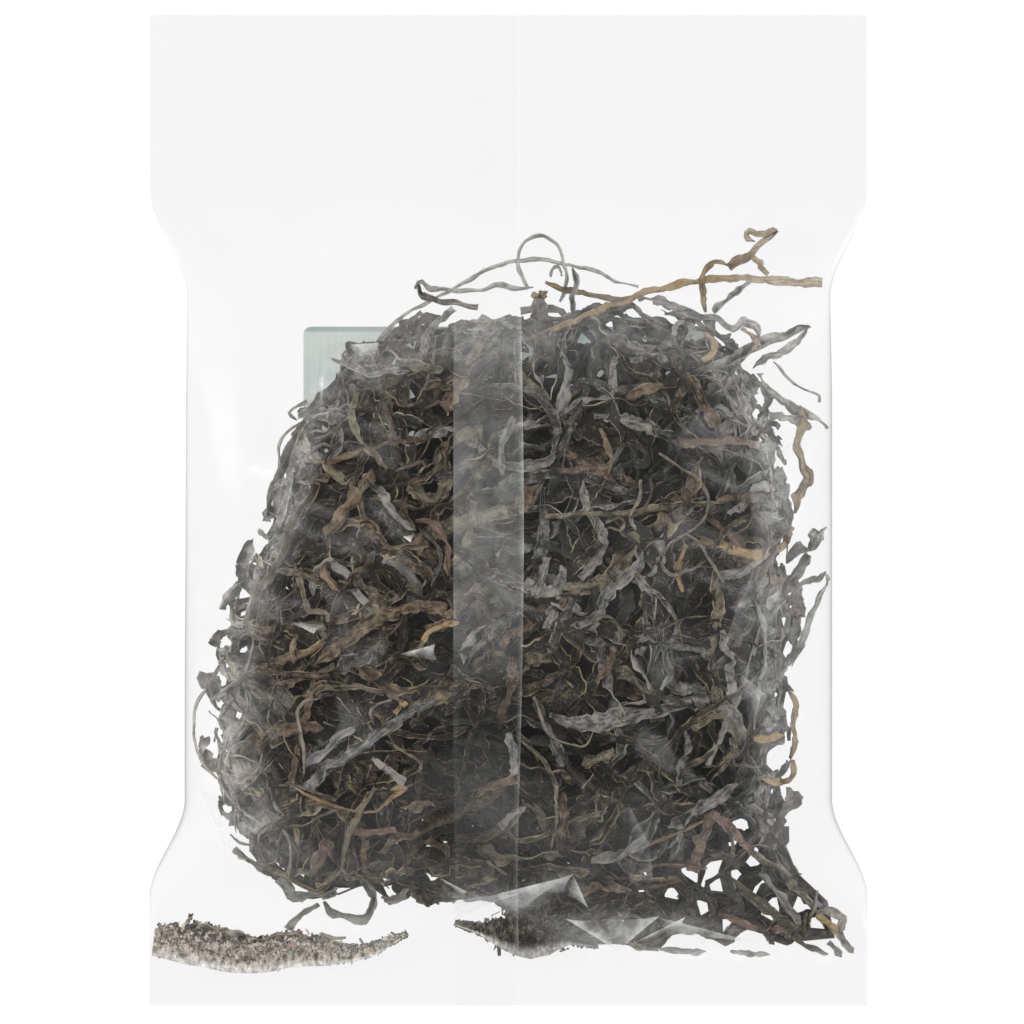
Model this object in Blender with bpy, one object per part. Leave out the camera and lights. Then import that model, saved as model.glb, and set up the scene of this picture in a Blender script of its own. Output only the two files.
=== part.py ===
"""A sealed clear pillow bag full of dried kelp strips, lying on its label with its back seam up.

Run it with: blender --background --python part.py

Metres, +Z up. X runs across the bag and Y along it, with the empty, sealed top end at +Y. The origin
is under the middle of the bag, at the height of the label's outer face, which is what the bag lies on.

The bag is one piece of clear film, folded round into a tube with a lapped seam down its back and
sealed flat across both ends. Its strips can be seen but not taken out, so the bag and what fills it
are one solid, up to the film. The label is a thin plate stuck under the bag's flat front.

The bag's film keeps its length round the tube: where the strips push the two skins apart, the bag
gets narrower. So one measure, the swell, drives both. It is 0 where the skins lie flat on each other
and 1 where the bag is full.
"""

import bmesh
import bpy
import numpy as np

# The empty tube, laid flat.
FLAT_WIDTH = 0.181
LENGTH = 0.250
FLAP_THICKNESS = 0.0008  # two sealed skins, thicker than real film so that they make a sound solid

# The bag where the strips fill it.
WAIST_WIDTH = 0.162
FILL_HEIGHT = 0.046
SIDE_FOLD_HEIGHT = 0.019  # where the back skin turns round into the front skin
FLAT_BASE_SHARE = 0.62  # how much of the half width lies flat on the ground
CROWN_POWER = 2.5  # 2 would be an ellipse; more makes the shoulders squarer
CROWN_FULL_ROUND = 0.5  # the back skin turns down steeply into the side fold
CROWN_SLACK_ROUND = 0.85  # it runs down to the side fold in nearly a straight slope

# The strips have slid to the bottom right, so the top left of the bag holds none and is slack.
SLACK_FROM_X = 0.0
SLACK_TO_X = -0.050
SLACK_FROM_Y = -0.060
SLACK_TO_Y = 0.030
SLACK_FOLD_DROP = 0.35  # how much lower the slack side fold lies

# Where the bag changes, along Y.
TOP_FLAT_Y = 0.084  # above this the two skins lie together
TOP_FULL_Y = 0.022
NECK_WIDE_Y = 0.081  # above this the bag has its flat width
NECK_NARROW_Y = 0.053
FOOT_NARROW_Y = -0.072
FOOT_WIDE_Y = -0.098  # below this the bag has its flat width again
FOOT_FILL_LENGTH = 0.048  # from the bottom crease up to the full height

# The bottom crease, where the skins part. The lapped seam holds them together, so it rises there.
CREASE_Y = -0.1145
CREASE_RISE = 0.0145
CREASE_RISE_X = -0.009
CREASE_RISE_WIDTH = 0.015

# The sealed ends stand a little off the ground.
TOP_END_HEIGHT = 0.005
BOTTOM_END_HEIGHT = 0.007

# The lapped back seam, a strip of doubled film.
SEAM_LEFT_X = -0.0135
SEAM_RIGHT_X = 0.0029
SEAM_STEP = 0.0004

# Shallow lumps where strips press on the back skin, and pleats at the neck.
LUMP_DEPTH = 0.0011
LUMP_SPACING = 0.037
PLEAT_DEPTH = 0.0012
PLEAT_SPACING = 0.019
PLEAT_Y = 0.058
PLEAT_LENGTH = 0.016

# The label.
LABEL_WIDTH = 0.104
LABEL_HEIGHT = 0.110
LABEL_TOP_Y = 0.0465
LABEL_THICKNESS = 0.0003
LABEL_CORNER = 0.002
LABEL_CORNER_STEPS = 4
PIECE_GAP = 0.0003

# How finely the bag's surface is divided.
ROWS = 60
SIDE_STEPS = 15
SEAM_STEPS = 4
BASE_STEPS = 24


def clear_scene():
    for scene_object in list(bpy.data.objects):
        bpy.data.objects.remove(scene_object, do_unlink=True)


def ramp(value, start, end):
    """0 at start and 1 at end, flat at both, and smooth between them."""
    t = np.clip((value - start) / (end - start), 0.0, 1.0)
    return t * t * (3.0 - 2.0 * t)


def half_width(y):
    """Half the bag's width: the flat width at both ends, drawn in to the waist between them."""
    drawn_in = ramp(y, NECK_WIDE_Y, NECK_NARROW_Y) * ramp(y, FOOT_WIDE_Y, FOOT_NARROW_Y)
    return 0.5 * (FLAT_WIDTH - (FLAT_WIDTH - WAIST_WIDTH) * drawn_in)


def crease_y(x):
    """The line where the skins part at the bottom: level, with one smooth rise behind the seam."""
    return CREASE_Y + CREASE_RISE * np.exp(-(((x - CREASE_RISE_X) / CREASE_RISE_WIDTH) ** 2))


def swell(x, y):
    """0 where the skins lie together, 1 where the bag is full."""
    crease = crease_y(x)
    from_top = ramp(y, TOP_FLAT_Y, TOP_FULL_Y)
    from_bottom = ramp(y, crease, crease + FOOT_FILL_LENGTH)
    return from_top * from_bottom


def slack(x, y):
    """0 where strips press the film out, 1 in the corner that they have slid away from."""
    return ramp(x, SLACK_FROM_X, SLACK_TO_X) * ramp(y, SLACK_FROM_Y, SLACK_TO_Y)


def base_height(x, y):
    """The front skin's height under the bag's middle line: on the label, and up to the sealed ends."""
    ground = LABEL_THICKNESS + PIECE_GAP
    along = ramp(y, -0.5 * LENGTH, 0.5 * LENGTH)
    end = BOTTOM_END_HEIGHT + (TOP_END_HEIGHT - BOTTOM_END_HEIGHT) * along
    return ground + (end - ground) * (1.0 - swell(x, y)) ** 4


def fold_height(x, y):
    """The height of the side folds, where the front skin becomes the back skin."""
    full = (SIDE_FOLD_HEIGHT - LABEL_THICKNESS - PIECE_GAP) * swell(x, y)
    return base_height(x, y) + full * (1.0 - SLACK_FOLD_DROP * slack(x, y))


def front_skin(x, y):
    """The lower skin: flat, then turned up at each side in a quarter of an ellipse."""
    across = np.abs(x) / half_width(y)
    turned = np.clip((across - FLAT_BASE_SHARE) / (1.0 - FLAT_BASE_SHARE), 0.0, 1.0)
    rise = 1.0 - np.sqrt(1.0 - turned**2)
    return base_height(x, y) + (fold_height(x, y) - base_height(x, y)) * rise


def back_skin(x, y):
    """The upper skin: a crown over the side folds, with lumps on it and pleats at the neck."""
    across = np.clip(np.abs(x) / half_width(y), 0.0, 1.0)
    roundness = CROWN_FULL_ROUND + (CROWN_SLACK_ROUND - CROWN_FULL_ROUND) * slack(x, y)
    crown = (1.0 - across**CROWN_POWER) ** roundness
    ceiling = base_height(x, y) + (FILL_HEIGHT - LUMP_DEPTH - FLAP_THICKNESS) * swell(x, y)
    rise = ceiling - fold_height(x, y)
    turn = 2.0 * np.pi / LUMP_SPACING
    lumps = np.sin(turn * (x + 0.6 * y)) * np.cos(turn * 0.8 * (y - 0.3 * x))
    pleats = np.cos(2.0 * np.pi * x / PLEAT_SPACING) * np.exp(-(((y - PLEAT_Y) / PLEAT_LENGTH) ** 2))
    relief = (LUMP_DEPTH * lumps * swell(x, y) + PLEAT_DEPTH * pleats * (1.0 - across)) * crown
    lift = ramp(swell(x, y), 0.0, 0.2)
    return fold_height(x, y) + FLAP_THICKNESS + rise * crown + relief * lift


def section(y):
    """The closed loop of (x, height) points round the bag at y, over the back skin from -X to +X
    and home along the front skin. The points crowd towards the side folds, where the skins turn."""
    width = half_width(y)
    closeness = np.cos(np.linspace(0.0, 0.5 * np.pi, SIDE_STEPS, endpoint=False))
    left = SEAM_LEFT_X - (SEAM_LEFT_X + width) * closeness
    right = (SEAM_RIGHT_X + (width - SEAM_RIGHT_X) * closeness)[::-1]
    seam = np.linspace(SEAM_LEFT_X, SEAM_RIGHT_X, SEAM_STEPS + 1)
    foot = np.array([SEAM_LEFT_X, SEAM_RIGHT_X])
    upper_x = np.concatenate([left, foot[:1], seam, foot[1:], right])
    raised = np.concatenate([left * 0.0, [0.0], seam * 0.0 + SEAM_STEP, [0.0], right * 0.0])
    lower_x = width * np.sin(np.linspace(0.5 * np.pi, -0.5 * np.pi, BASE_STEPS + 1))
    upper = np.stack([upper_x, back_skin(upper_x, y) + raised], axis=1)
    lower = np.stack([lower_x, front_skin(lower_x, y)], axis=1)
    return np.concatenate([upper, lower])


def make_material(name, colour, roughness):
    material = bpy.data.materials.new(name)
    material.use_nodes = True
    shader = material.node_tree.nodes["Principled BSDF"]
    shader.inputs["Base Color"].default_value = (*colour, 1.0)
    shader.inputs["Roughness"].default_value = roughness
    shader.inputs["Metallic"].default_value = 0.0
    return material


def add_object(name, bm, material, collection):
    """The bmesh as a named object with its normals out, shaded smooth but for its sharp edges."""
    bmesh.ops.recalc_face_normals(bm, faces=bm.faces)
    mesh = bpy.data.meshes.new(name)
    bm.to_mesh(mesh)
    bm.free()
    mesh.shade_smooth()
    mesh.set_sharp_from_angle(angle=np.radians(40.0))
    mesh.materials.append(material)
    piece = bpy.data.objects.new(name, mesh)
    collection.objects.link(piece)
    return piece


def make_bag(collection):
    """The bag and the strips in it: a loft through sections that go from flat to full to flat."""
    bm = bmesh.new()
    rings = []
    for y in np.linspace(-0.5 * LENGTH, 0.5 * LENGTH, ROWS):
        rings.append([bm.verts.new((x, y, z)) for x, z in section(y)])
    for ring, following in zip(rings, rings[1:]):
        for i in range(len(ring)):
            j = (i + 1) % len(ring)
            bm.faces.new((ring[i], ring[j], following[j], following[i]))
    bm.faces.new(rings[0])
    bm.faces.new(rings[-1])
    kelp_in_film = make_material("kelp_in_film", (0.16, 0.14, 0.12), 0.3)
    return add_object("bag", bm, kelp_in_film, collection)


def make_label(collection):
    """The label: a thin plate with rounded corners, under the bag's flat front."""
    bm = bmesh.new()
    bmesh.ops.create_cube(bm, size=1.0)
    bmesh.ops.scale(bm, vec=(LABEL_WIDTH, LABEL_HEIGHT, LABEL_THICKNESS), verts=bm.verts)
    middle_y = LABEL_TOP_Y - 0.5 * LABEL_HEIGHT
    bmesh.ops.translate(bm, vec=(0.0, middle_y, 0.5 * LABEL_THICKNESS), verts=bm.verts)
    uprights = [e for e in bm.edges if abs(e.verts[0].co.z - e.verts[1].co.z) > 0.5 * LABEL_THICKNESS]
    bmesh.ops.bevel(
        bm, geom=uprights, offset=LABEL_CORNER, segments=LABEL_CORNER_STEPS, profile=0.5, affect="EDGES"
    )
    label_paper = make_material("label_paper", (0.78, 0.84, 0.81), 0.5)
    return add_object("label", bm, label_paper, collection)


def main():
    clear_scene()
    collection = bpy.data.collections.new("bag_of_dried_kelp_strips")
    bpy.context.scene.collection.children.link(collection)
    make_bag(collection)
    make_label(collection)


main()
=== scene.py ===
# %% [markdown]
# # A clear bag of dried kelp strips
#
# This lesson dresses a plain solid of a sealed bag as the real thing: clear film with a lapped seam
# down its back, about a thousand crinkled strips of dried kelp inside, crumbs in the bottom crease
# and a label under it. The bag lies on its label with its back seam up, and its empty, sealed top
# end is at +Y.
#
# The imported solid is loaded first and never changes. Everything below is in metres, in its frame.

import bpy
import numpy as np
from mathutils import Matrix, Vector


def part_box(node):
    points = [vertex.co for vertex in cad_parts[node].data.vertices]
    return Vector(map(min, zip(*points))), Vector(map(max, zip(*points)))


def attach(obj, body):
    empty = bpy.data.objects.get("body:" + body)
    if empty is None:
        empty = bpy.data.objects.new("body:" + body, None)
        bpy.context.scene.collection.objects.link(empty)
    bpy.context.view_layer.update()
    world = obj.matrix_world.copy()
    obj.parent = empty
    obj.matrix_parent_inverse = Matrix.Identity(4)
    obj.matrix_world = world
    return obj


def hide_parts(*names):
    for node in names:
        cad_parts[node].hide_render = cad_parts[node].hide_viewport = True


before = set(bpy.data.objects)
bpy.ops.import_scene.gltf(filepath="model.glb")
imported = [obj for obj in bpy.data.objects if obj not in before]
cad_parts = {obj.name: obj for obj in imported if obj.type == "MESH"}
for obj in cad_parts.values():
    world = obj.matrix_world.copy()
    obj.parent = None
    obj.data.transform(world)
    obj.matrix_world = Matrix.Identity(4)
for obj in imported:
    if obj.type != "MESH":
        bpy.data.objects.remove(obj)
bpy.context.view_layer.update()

BAG_LOW, BAG_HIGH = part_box("bag")
LABEL_LOW, LABEL_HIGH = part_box("label")
MM = 0.001
print("bag", [round(v / MM, 1) for v in BAG_HIGH - BAG_LOW], "mm")

# %% [markdown]
# ## Surfaces from whole arrays
#
# A shape here is a grid of points worked out at once with numpy. Blender needs those points, and the
# faces between them as lists of point numbers. `foreach_set` copies an array into the mesh in one go,
# where a Python loop over points would take minutes for a thousand strips.

# %% Mesh helpers
SHARP_ANGLE = 55.0


def build_mesh(name, points, quads, uv=None, values=None):
    """A mesh of four-sided faces. uv holds two numbers for each point, and values maps the name of
    a point attribute to one number for each point."""
    mesh = bpy.data.meshes.new(name)
    mesh.vertices.add(len(points))
    mesh.vertices.foreach_set("co", np.asarray(points, np.float32).ravel())
    mesh.loops.add(quads.size)
    mesh.loops.foreach_set("vertex_index", quads.astype(np.int32).ravel())
    mesh.polygons.add(len(quads))
    mesh.polygons.foreach_set("loop_start", np.arange(0, quads.size, 4, dtype=np.int32))
    mesh.polygons.foreach_set("loop_total", np.full(len(quads), 4, np.int32))
    mesh.polygons.foreach_set("use_smooth", np.ones(len(quads), bool))
    if uv is not None:
        layer = mesh.uv_layers.new(name="along")
        layer.data.foreach_set("uv", uv[quads.ravel()].astype(np.float32).ravel())
    for attribute, numbers in (values or {}).items():
        stored = mesh.attributes.new(attribute, "FLOAT", "POINT")
        stored.data.foreach_set("value", numbers.astype(np.float32).ravel())
    mesh.update(calc_edges=True)
    mesh.set_sharp_from_angle(angle=np.radians(SHARP_ANGLE))
    return mesh


def grid_quads(rows, columns, closed=False):
    """The faces of a grid stored row by row. closed joins the last column to the first."""
    row = np.arange(rows - 1)[:, None]
    column = np.arange(columns if closed else columns - 1)[None, :]
    after = (column + 1) % columns
    corners = (row * columns + column, row * columns + after,
               (row + 1) * columns + after, (row + 1) * columns + column)
    return np.stack(np.broadcast_arrays(*corners), axis=-1).reshape(-1, 4)


def add_piece(name, mesh, material):
    """The mesh as a piece of the object: shown, and riding on its one body."""
    mesh.materials.append(material)
    piece = bpy.data.objects.new(name, mesh)
    bpy.context.scene.collection.objects.link(piece)
    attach(piece, "root")
    print(f"{name}: {sum(len(p.vertices) - 2 for p in mesh.polygons)} triangles")
    return piece


def closed_sheet(x, y, upper, lower):
    """A closed shell over a grid of places: each row goes out at the upper heights and home at the
    lower ones, and the first and last rows are zipped up. Returns points and faces."""
    rows, columns = x.shape
    out = np.stack([x, y, upper], axis=-1)
    home = np.stack([x, y, lower], axis=-1)[:, ::-1]
    side = np.arange(columns - 1)
    end = np.stack([side, side + 1, 2 * columns - 2 - side, 2 * columns - 1 - side], axis=-1)
    around = grid_quads(rows, 2 * columns, closed=True)
    last = (rows - 1) * 2 * columns
    points = np.concatenate([out, home], axis=1).reshape(-1, 3)
    return points, np.concatenate([around, end[:, ::-1], end + last])


def ramp(value, start, end):
    """0 at start and 1 at end, flat at both, and smooth between them."""
    t = np.clip((value - start) / (end - start), 0.0, 1.0)
    return t * t * (3.0 - 2.0 * t)


def bell(value, middle, width):
    """1 at the middle, falling off on both sides as a bell curve."""
    return np.exp(-(((value - middle) / width) ** 2))


# %% [markdown]
# ## The camera
#
# The bag is seen from straight above, from far off, so that its edges stay parallel. A long lens does
# that: the further away the camera is, the longer its lens has to be for the same view.

# %% Camera
VIEW_WIDTH = 0.2586
VIEW_MIDDLE = (0.0009, -0.0005)
LENS = 200.0
SENSOR = 36.0
FOCUS_HEIGHT = 0.006

camera_data = bpy.data.cameras.new("camera")
camera_data.lens = LENS
camera_data.sensor_width = SENSOR
camera_data.clip_end = 20.0
camera = bpy.data.objects.new("camera", camera_data)
camera.location = (*VIEW_MIDDLE, FOCUS_HEIGHT + VIEW_WIDTH * LENS / SENSOR)
bpy.context.scene.collection.objects.link(camera)
bpy.context.scene.camera = camera
print("camera height", round(camera.location.z, 3), "m")

# %% [markdown]
# ## The form of the bag
#
# A pillow bag is a tube of film sealed flat across both ends. Film doesn't stretch, so where the
# strips push the two skins apart the bag gets narrower. One measure drives both, the swell: 0 where
# the skins lie together and 1 where the bag is full. These are the same formulas that made the solid.

# %% Bag form
HALF_LENGTH = BAG_HIGH.y
FLAT_HALF_WIDTH = BAG_HIGH.x
WAIST_HALF_WIDTH = 0.081
FILL_HEIGHT = 0.0441
SIDE_FOLD_HEIGHT = 0.019
GROUND = BAG_LOW.z
CREASE_Y = -0.1145
SKIN_GAP = 0.0002
SEAM_LEFT, SEAM_RIGHT = -0.0135, 0.0029


def half_width(y):
    """Half the width: the flat half width, less the part drawn in between the two ends."""
    drawn_in = ramp(y, 0.081, 0.053) * ramp(y, -0.098, -0.072)
    return FLAT_HALF_WIDTH - (FLAT_HALF_WIDTH - WAIST_HALF_WIDTH) * drawn_in


def crease_y(x):
    """The bottom crease: it rises behind the seam, and dips and rises a little on either side."""
    rise = 0.0145 * bell(x, -0.009, 0.015) + 0.003 * bell(x, 0.027, 0.014)
    return CREASE_Y + rise - 0.0022 * bell(x, -0.066, 0.020)


def swell(x, y):
    """One ramp up from the bottom crease times one ramp down to the flat top end."""
    crease = crease_y(x)
    return ramp(y, 0.084, 0.022) * ramp(y, crease, crease + 0.048)


def slack(x, y):
    """1 in the top left corner, which the strips have slid away from, and 0 elsewhere."""
    return ramp(x, 0.0, -0.050) * ramp(y, -0.060, 0.030)


def base_height(x, y):
    """The front skin under the middle line: on the ground, and rising to the sealed ends."""
    end = 0.007 - 0.002 * ramp(y, -HALF_LENGTH, HALF_LENGTH)
    return GROUND + (end - GROUND) * (1.0 - swell(x, y)) ** 4


def fold_height(x, y):
    """The side folds, lower where the bag is slack."""
    full = (SIDE_FOLD_HEIGHT - GROUND) * swell(x, y)
    return base_height(x, y) + full * (1.0 - 0.35 * slack(x, y))


def front_skin(x, y):
    """The lower skin: flat, then a quarter of an ellipse up to each side fold."""
    across = np.clip(np.abs(x) / half_width(y), 0.0, 1.0)
    turned = np.clip((across - 0.62) / 0.38, 0.0, 1.0)
    rise = 1.0 - np.sqrt(1.0 - turned**2)
    return base_height(x, y) + (fold_height(x, y) - base_height(x, y)) * rise


def smooth_back(x, y):
    """The upper skin without relief: a crown over the side folds, straighter where it is slack."""
    across = np.clip(np.abs(x) / half_width(y), 0.0, 1.0)
    crown = (1.0 - across**2.5) ** (0.5 + 0.35 * slack(x, y))
    rise = base_height(x, y) + FILL_HEIGHT * swell(x, y) - fold_height(x, y)
    return fold_height(x, y) + SKIN_GAP + rise * crown


print("height over the middle", round(float(smooth_back(0.0, -0.02)) / MM, 1), "mm")

# %% [markdown]
# ## Wrinkles in the film
#
# Thin film can't stretch over a lump, so it buckles into sharp creases with flat facets between
# them. Two kinds of relief make that: tents along lines, which fade at both ends, and broad random
# rumples over all of it.

# %% Wrinkles
CREASES = np.array([  # start x, start y, end x, end y, height, width, in millimetres
    (-50, 46, -49, 18, 0.5, 1.0), (-47, 45, -45, 22, 0.6, 1.2), (-44, 44, -38, 30, 0.5, 1.0),
    (-40, 41, -29, 26, 0.7, 1.4), (-33, 41, -27, 10, 0.6, 1.3), (-56, 40, -64, 10, 0.5, 1.6),
    (-1, -99, 6, -95, 1.0, 1.2), (6, -95, 17, -91, 1.0, 1.2), (17, -93, 20, -100, 0.9, 1.2),
    (33, -109, 45, -102, 0.6, 1.2), (36, -106, 52, -103, 0.6, 1.0), (40, -101, 62, -108, 0.6, 1.2),
    (16, -106, 30, -110, 0.7, 1.4), (48, -104, 70, -109, 0.5, 1.2),
    (28, -72, 30, -92, 0.7, 0.8), (35, -83, 36, -93, 0.7, 0.8), (30, -92, 36, -93, 0.6, 0.8),
    (-76, -70, -72, -82, 0.8, 1.2), (-70, -83, -48, -74, 0.7, 1.2), (-69, -84, -60, -68, 0.5, 1.4),
    (-53, -71, -18, -46, 0.5, 1.4), (-51, -66, -38, -54, 0.5, 1.2),
    (-40, -112, -24, -107, 0.6, 1.2), (-24, -107, -14, -102, 0.7, 1.1), (-14, -102, 3, -101, 0.7, 1.1),
    (-12, -24, -3, -52, 0.5, 1.0), (-8, 14, -2, -16, 0.5, 1.0), (-3, -14, 3, -30, 0.5, 0.9),
    (60, 12, 64, -45, 0.7, 1.6), (66, 6, 55, -30, 0.5, 1.4), (62, -20, 68, -66, 0.5, 1.4),
    (62, -22, 64, -38, 0.6, 0.9), (64, -38, 61, -55, 0.6, 0.9), (50, -70, 60, -98, 0.5, 1.3),
    (70, 44, 50, 30, 0.5, 1.6), (30, 56, 38, 38, 0.4, 1.4), (-20, 58, -24, 40, 0.4, 1.4),
    (10, 60, 7, 42, 0.4, 1.2), (55, 62, 46, 46, 0.4, 1.3),
]) * MM
LUMP_SPACING = 0.037


def crease_relief(x, y):
    """The tallest of the tents: height times exp(-distance / width), fading to the line's ends."""
    relief = np.zeros(np.broadcast(x, y).shape)
    for x0, y0, x1, y1, height, width in CREASES:
        length = np.hypot(x1 - x0, y1 - y0)
        share = ((x - x0) * (x1 - x0) + (y - y0) * (y1 - y0)) / length**2
        inside = np.clip(share, 0.0, 1.0)
        distance = np.hypot(x - x0 - inside * (x1 - x0), y - y0 - inside * (y1 - y0))
        tent = height * np.exp(-np.sqrt(distance**2 + (0.2 * width) ** 2) / width)
        relief = np.maximum(relief, tent * np.sqrt(4.0 * inside * (1.0 - inside)))
    return relief


def rumple(x, y, seed, count, shortest, longest):
    """Even, random waviness between -1 and 1: the mean of sine waves in every direction."""
    random = np.random.default_rng(seed)
    total = np.zeros(np.broadcast(x, y).shape)
    for _ in range(count):
        angle, phase = random.uniform(0.0, 2.0 * np.pi, 2)
        turn = 2.0 * np.pi / random.uniform(shortest, longest)
        total += np.sin(turn * (x * np.cos(angle) + y * np.sin(angle)) + phase)
    return total * np.sqrt(2.0 / count) / 2.0


def back_skin(x, y):
    """The upper skin: the crown, broad lumps, fine rumples and creases, less at the flat ends."""
    turn = 2.0 * np.pi / LUMP_SPACING
    filled = ramp(swell(x, y), 0.0, 0.12)
    inward = ramp(half_width(y) - np.abs(x), 0.0, 0.012)
    lumps = 0.0007 * np.sin(turn * (x + 0.6 * y)) * np.cos(turn * 0.8 * (y - 0.3 * x))
    folds = 0.0007 * np.abs(rumple(x, y, 3, 9, 0.016, 0.05))
    fine = 0.00005 * rumple(x, y, 5, 12, 0.005, 0.012)
    return smooth_back(x, y) + (lumps + folds + fine + crease_relief(x, y)) * filled * inward


# %% [markdown]
# ## The film
#
# The bag is one closed tube. A loop round it at each y goes over the back and home under the front,
# and the loops are joined into rows. The points crowd towards the side folds, where the film turns
# sharply. The two ends are sealed by joining the last loop's upper points to its lower ones.

# %% Film
FILM_ROWS = 330
FILM_COLUMNS = 141


def make_film():
    """Rows across the bag: x crowds towards the side folds, over the back and home underneath."""
    y = np.linspace(-HALF_LENGTH, HALF_LENGTH, FILM_ROWS)[:, None]
    turn = np.linspace(-0.5 * np.pi, 0.5 * np.pi, FILM_COLUMNS)[None, :]
    x = half_width(y) * (0.55 * turn / (0.5 * np.pi) + 0.45 * np.sin(turn))
    y = np.broadcast_to(y, x.shape)
    return closed_sheet(x, y, back_skin(x, y), front_skin(x, y))


# %% [markdown]
# ## Where the strips may lie
#
# The strips fill most of the bag but not its top left corner, and they have slid down towards the
# bottom right. Seen from above their heap has one outline. It is kept as a radius for each angle
# round a middle point, so that one division tells how far out any point is: 0 in the middle of the
# heap and 1 on its outline. Towards the outline the heap is thin, and light comes through its gaps.

# %% Heap outline
HEAP_MIDDLE = np.array([4.0, -28.0]) * MM
HEAP_OUTLINE = np.array([  # in millimetres, anticlockwise from the right side
    (70, -13), (70, 8), (66, 24), (60, 36), (50, 47), (40, 50), (28, 52), (13, 49), (3, 48),
    (-17, 47), (-29, 44), (-42, 40), (-45, 32), (-52, 27), (-56, 12), (-60, -4), (-69, -22),
    (-74, -46), (-74, -70), (-68, -85), (-59, -92), (-54, -97), (-44, -98.5), (-38, -95.5),
    (-33, -96), (-30, -99.5), (-25, -96.5), (-21, -100), (-15, -98.5), (-9, -97), (0, -104),
    (13, -111), (48, -110), (86, -112), (75, -97), (68, -85), (68, -70), (70, -48), (72, -33),
]) * MM
GAPS = np.array([  # x, y and radius of places with no strip, in millimetres
    (-24, 29, 1.5), (-18, 24, 1.5), (-24, 19, 0.9), (-46, 15, 1.0), (-46, 21, 1.0), (-47, 30, 0.8),
    (20, 42, 1.2), (23, 34, 1.2), (11, 34, 0.9), (47, 44, 2.0), (55, 47, 1.5), (31, 50, 1.0),
    (62, 36, 1.0), (63, 28, 1.0), (68, 25, 1.0), (62, 24, 0.8), (63, 17, 0.9), (71, 15, 1.6),
    (71, 8, 1.3), (68, 11, 0.7), (68, -1, 0.9), (70, -20, 1.0), (70, -35, 1.2), (65, -29, 0.6),
    (70, -48, 1.7), (63, -53, 0.8), (61, -60, 1.0), (67, -62, 2.8), (62, -68, 0.8), (60, -74, 1.0),
    (-70, -39, 1.2), (-66, -30, 0.8), (-67, -36, 0.7), (-68, -52, 0.9), (-74, -60, 1.0),
    (-57, 2, 1.4), (-62, -9, 1.1), (-58, -6, 0.6), (-52, -92, 0.6), (24, -95, 0.6),
    (-71, -33, 1.2), (-72.5, -43, 1.0), (-74, -50, 1.1), (-72, -56, 0.9), (-74, -67, 1.2),
    (-67, -26, 1.0), (-64, -17, 1.0), (-70, -75, 1.0), (69, -28, 1.1), (71, -42, 1.1),
    (9, 36, 1.5), (26, 46, 1.4), (19, 44, 1.6), (3.5, 39, 1.1), (-24, 41, 1.4), (-30, 38, 1.6),
    # The net in the bottom right corner.
    (58.5, -79, 1.7), (61, -88, 2.4), (51.8, -83, 1.7), (56.4, -83.6, 1.4), (52.5, -89.6, 1.8),
    (50, -92.4, 1.6), (45.8, -92, 1.6), (57, -93, 1.8), (52.7, -94.7, 1.5), (40.8, -97.3, 1.3),
    (48.9, -100.4, 2.1), (63.3, -95.8, 1.7), (67, -99.9, 2.4), (72.3, -99.5, 2.1), (65.2, -103.2, 1.3),
    (55, -104.8, 1.7), (59.6, -107.7, 1.9), (63, -109.4, 1.8), (70.2, -107.3, 1.2), (78.3, -104.5, 1.9),
    (81.5, -103.2, 1.3), (77.6, -108.8, 2.2), (83.7, -110.8, 2.6), (48.2, -108, 1.6), (42.9, -108.7, 1.5),
    (35.4, -103.2, 1.0), (67.5, -111.6, 1.8), (73.4, -112, 2.0),
]) * (MM, MM, 0.85 * MM)

_spokes = HEAP_OUTLINE - HEAP_MIDDLE
_order = np.argsort(np.arctan2(_spokes[:, 1], _spokes[:, 0]))
OUTLINE_ANGLE = np.arctan2(_spokes[:, 1], _spokes[:, 0])[_order]
OUTLINE_RADIUS = np.hypot(_spokes[:, 0], _spokes[:, 1])[_order]


def outline_radius(angle):
    return np.interp(angle, OUTLINE_ANGLE, OUTLINE_RADIUS, period=2.0 * np.pi)


def corner_share(x, y):
    """1 in the bottom right corner, where the strips lie in an open net, and 0 elsewhere."""
    return ramp(x, 0.024, 0.042) * ramp(y, -0.074, -0.082)


def outwardness(x, y):
    """Distance from the heap's middle over the outline's distance in that direction."""
    angle = np.arctan2(y - HEAP_MIDDLE[1], x - HEAP_MIDDLE[0])
    return np.hypot(x - HEAP_MIDDLE[0], y - HEAP_MIDDLE[1]) / outline_radius(angle)


# %% [markdown]
# Heights over the plan are kept in maps of half-millimetre cells: the floor under the strips, the
# film over them, and the surface that the heap is filled up to. That surface meets the film in some
# places and lies a few millimetres under it in others, and it rounds down to the floor at the edge.

# %% Height maps
MAP_STEP = 0.0005
MAP_X = np.arange(-FLAT_HALF_WIDTH, FLAT_HALF_WIDTH + MAP_STEP, MAP_STEP)
MAP_Y = np.arange(-HALF_LENGTH, HALF_LENGTH + MAP_STEP, MAP_STEP)
UNDER_FILM = 0.0004
UNEVENNESS = 0.0022
FOOT_HOLLOW = 0.0030
SHELL_DEPTH = 0.010

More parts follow.
